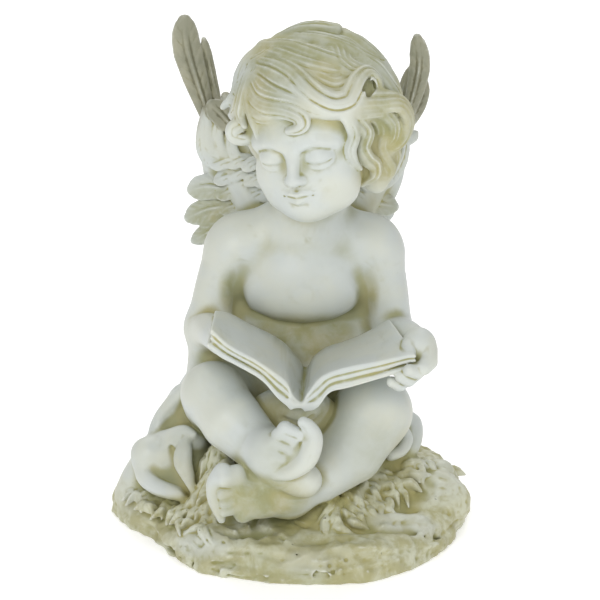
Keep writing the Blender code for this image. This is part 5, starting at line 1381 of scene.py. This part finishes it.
def stone_finish():
    """Chalky white cast stone under an olive and ochre wash that stays in the hollows, with painted shade in
    wide hollows and where the figure shades itself, convex edges painted lighter, and a satin seal coat."""
    t = Tree("cast_stone")
    crevice, shelter, plume, earth, shade_and_wash = (
        t.share(name)
        for name in ("crevice", "shelter", "plume", "earth", "shade_and_wash")
    )
    cloudy = t.noise(*CLOUDY)
    blotch = t.noise(*BLOTCHY)
    grain = t.noise(*GRAINY)
    pits = t.noise(*PITTED)
    # what lies under the wash
    colour = t.mix(t.ramp(cloudy, 0.38, 0.64), *CHALK)
    colour = t.mix(t.times(earth, EARTH_COVER), colour, t.mix(t.ramp(blotch, 0.38, 0.62), *EARTH))
    colour = t.mix(plume, colour, t.mix(t.ramp(blotch, 0.35, 0.65), *PLUME))
    # how much wash and painted shade there is: wash in narrow hollows, painted shade with wash in wide
    # hollows and in the listed places where the figure shades itself
    uneven = t.times(t.maths("SUBTRACT", blotch, 0.5), 0.09)
    in_crevice = t.ramp(t.maths("ADD", crevice, uneven), *CREVICE_WASH)
    in_shelter = t.ramp(t.maths("ADD", shelter, uneven), *SHELTER_SHADE_AND_WASH, 0.0, SHELTER_COVER)
    shaded_and_washed = t.times(shade_and_wash, t.ramp(blotch, 0.3, 0.7, 0.6, 1.0))
    shaded_and_washed = t.times(shaded_and_washed, t.ramp(crevice, 0.32, 0.52, 0.4, 1.0))
    wash_and_shade_amount = t.maths("MAXIMUM", t.maths("MAXIMUM", in_crevice, in_shelter), shaded_and_washed)
    colour = t.mix(t.times(wash_and_shade_amount, WASH_AND_SHADE_COVER), colour, t.mix(t.ramp(cloudy, 0.42, 0.62), *WASH_AND_SHADE))
    colour = t.mix(t.times(plume, t.ramp(crevice, 0.50, 0.58, 0.0, QUILL_COVER)), colour, QUILL_LINE)
    # convex edges painted lighter: rubbed wear and painted highlight
    colour = t.mix(t.ramp(crevice, 0.44, 0.30, 0.0, RUBBED_AND_HIGHLIGHT_COVER), colour, RUBBED_AND_HIGHLIGHT)
    speck = t.times(t.ramp(pits, 0.70, 0.76), t.ramp(blotch, 0.54, 0.66))
    colour = t.mix(t.times(speck, t.maths("MAXIMUM", plume, earth)), colour, SPECK)
    rough = t.ramp(t.maths("ADD", wash_and_shade_amount, t.times(grain, 0.3)), 0.0, 1.2, *ROUGHNESS)
    fine = t.bump({"Height": grain}, 0.25, GRAIN_HEIGHT)
    t.feed(t.shader, {
        "Base Color": colour, "Roughness": rough, "Specular IOR Level": 0.45,
        "Normal": t.bump({"Height": blotch, "Normal": fine}, 0.2, BLOTCH_HEIGHT)
    })
    return t.material


def floor_finish():
    t = Tree("studio_floor")
    t.feed(t.shader, {
        "Base Color": t.mix(t.ramp(t.noise(3, 2), 0.3, 0.7), *FLOOR_TONES), "Roughness": 0.8,
        "Emission Color": (1, 1, 1, 1), "Emission Strength": 0.3
    })
    return t.material


# the studio, in metres and watts
FLOOR_REACH = 6.0
STATUE_MIDDLE = (0, 0, 0.16)
SOFTBOXES = (
    # name, place, the point it faces, side, watts
    ("key", (-0.45, -1.35, 0.95), STATUE_MIDDLE, 0.8, 9.0),
    ("fill", (0.9, -1.3, 0.6), STATUE_MIDDLE, 0.9, 4),
    ("top", (0.0, 0.15, 1.7), STATUE_MIDDLE, 1.2, 1.2),
    ("sweep", (0.0, 2.6, 2.6), (0, 1.6, 0), 3.0, 60),
)
SKY_STRENGTH = 0.52
CAMERA_PLACE = (0.006, -1.28368, 0.62330)
# degrees up from straight down
CAMERA_TILT = 69.5
CAMERA_LENS_MM = 130.14
CAMERA_SENSOR_MM = 36


def floor():
    r = FLOOR_REACH
    mesh = bpy.data.meshes.new("floor")
    mesh.from_pydata([(-r, -r, 0), (r, -r, 0), (r, r, 0), (-r, r, 0)], [], [(0, 1, 2, 3)])
    mesh.materials.append(floor_finish())
    sheet = bpy.data.objects.new("floor", mesh)
    bpy.context.scene.collection.objects.link(sheet)


def softbox(name, place, target, side, watts):
    lamp = bpy.data.lights.new(name, "AREA")
    lamp.shape = "SQUARE"
    lamp.size = side
    lamp.energy = watts
    stand = bpy.data.objects.new(name, lamp)
    stand.location = place
    stand.rotation_euler = (Vector(target) - Vector(place)).to_track_quat("-Z", "Y").to_euler()
    bpy.context.scene.collection.objects.link(stand)


def studio():
    for lamp in SOFTBOXES:
        softbox(*lamp)
    world = bpy.data.worlds.new("studio")
    world.use_nodes = True
    sky = world.node_tree.nodes["Background"]
    sky.inputs["Color"].default_value = (1, 1, 1, 1)
    sky.inputs["Strength"].default_value = SKY_STRENGTH
    bpy.context.scene.world = world
    bpy.context.scene.view_settings.view_transform = "Standard"


def camera():
    eye = bpy.data.cameras.new("camera")
    eye.sensor_width = CAMERA_SENSOR_MM
    eye.lens = CAMERA_LENS_MM
    eye.clip_start = 0.05
    stand = bpy.data.objects.new("camera", eye)
    stand.location = CAMERA_PLACE
    stand.rotation_euler = (math.radians(CAMERA_TILT), 0, 0)
    bpy.context.scene.collection.objects.link(stand)
    bpy.context.scene.camera = stand


camera()
statue_piece()
floor()
studio()
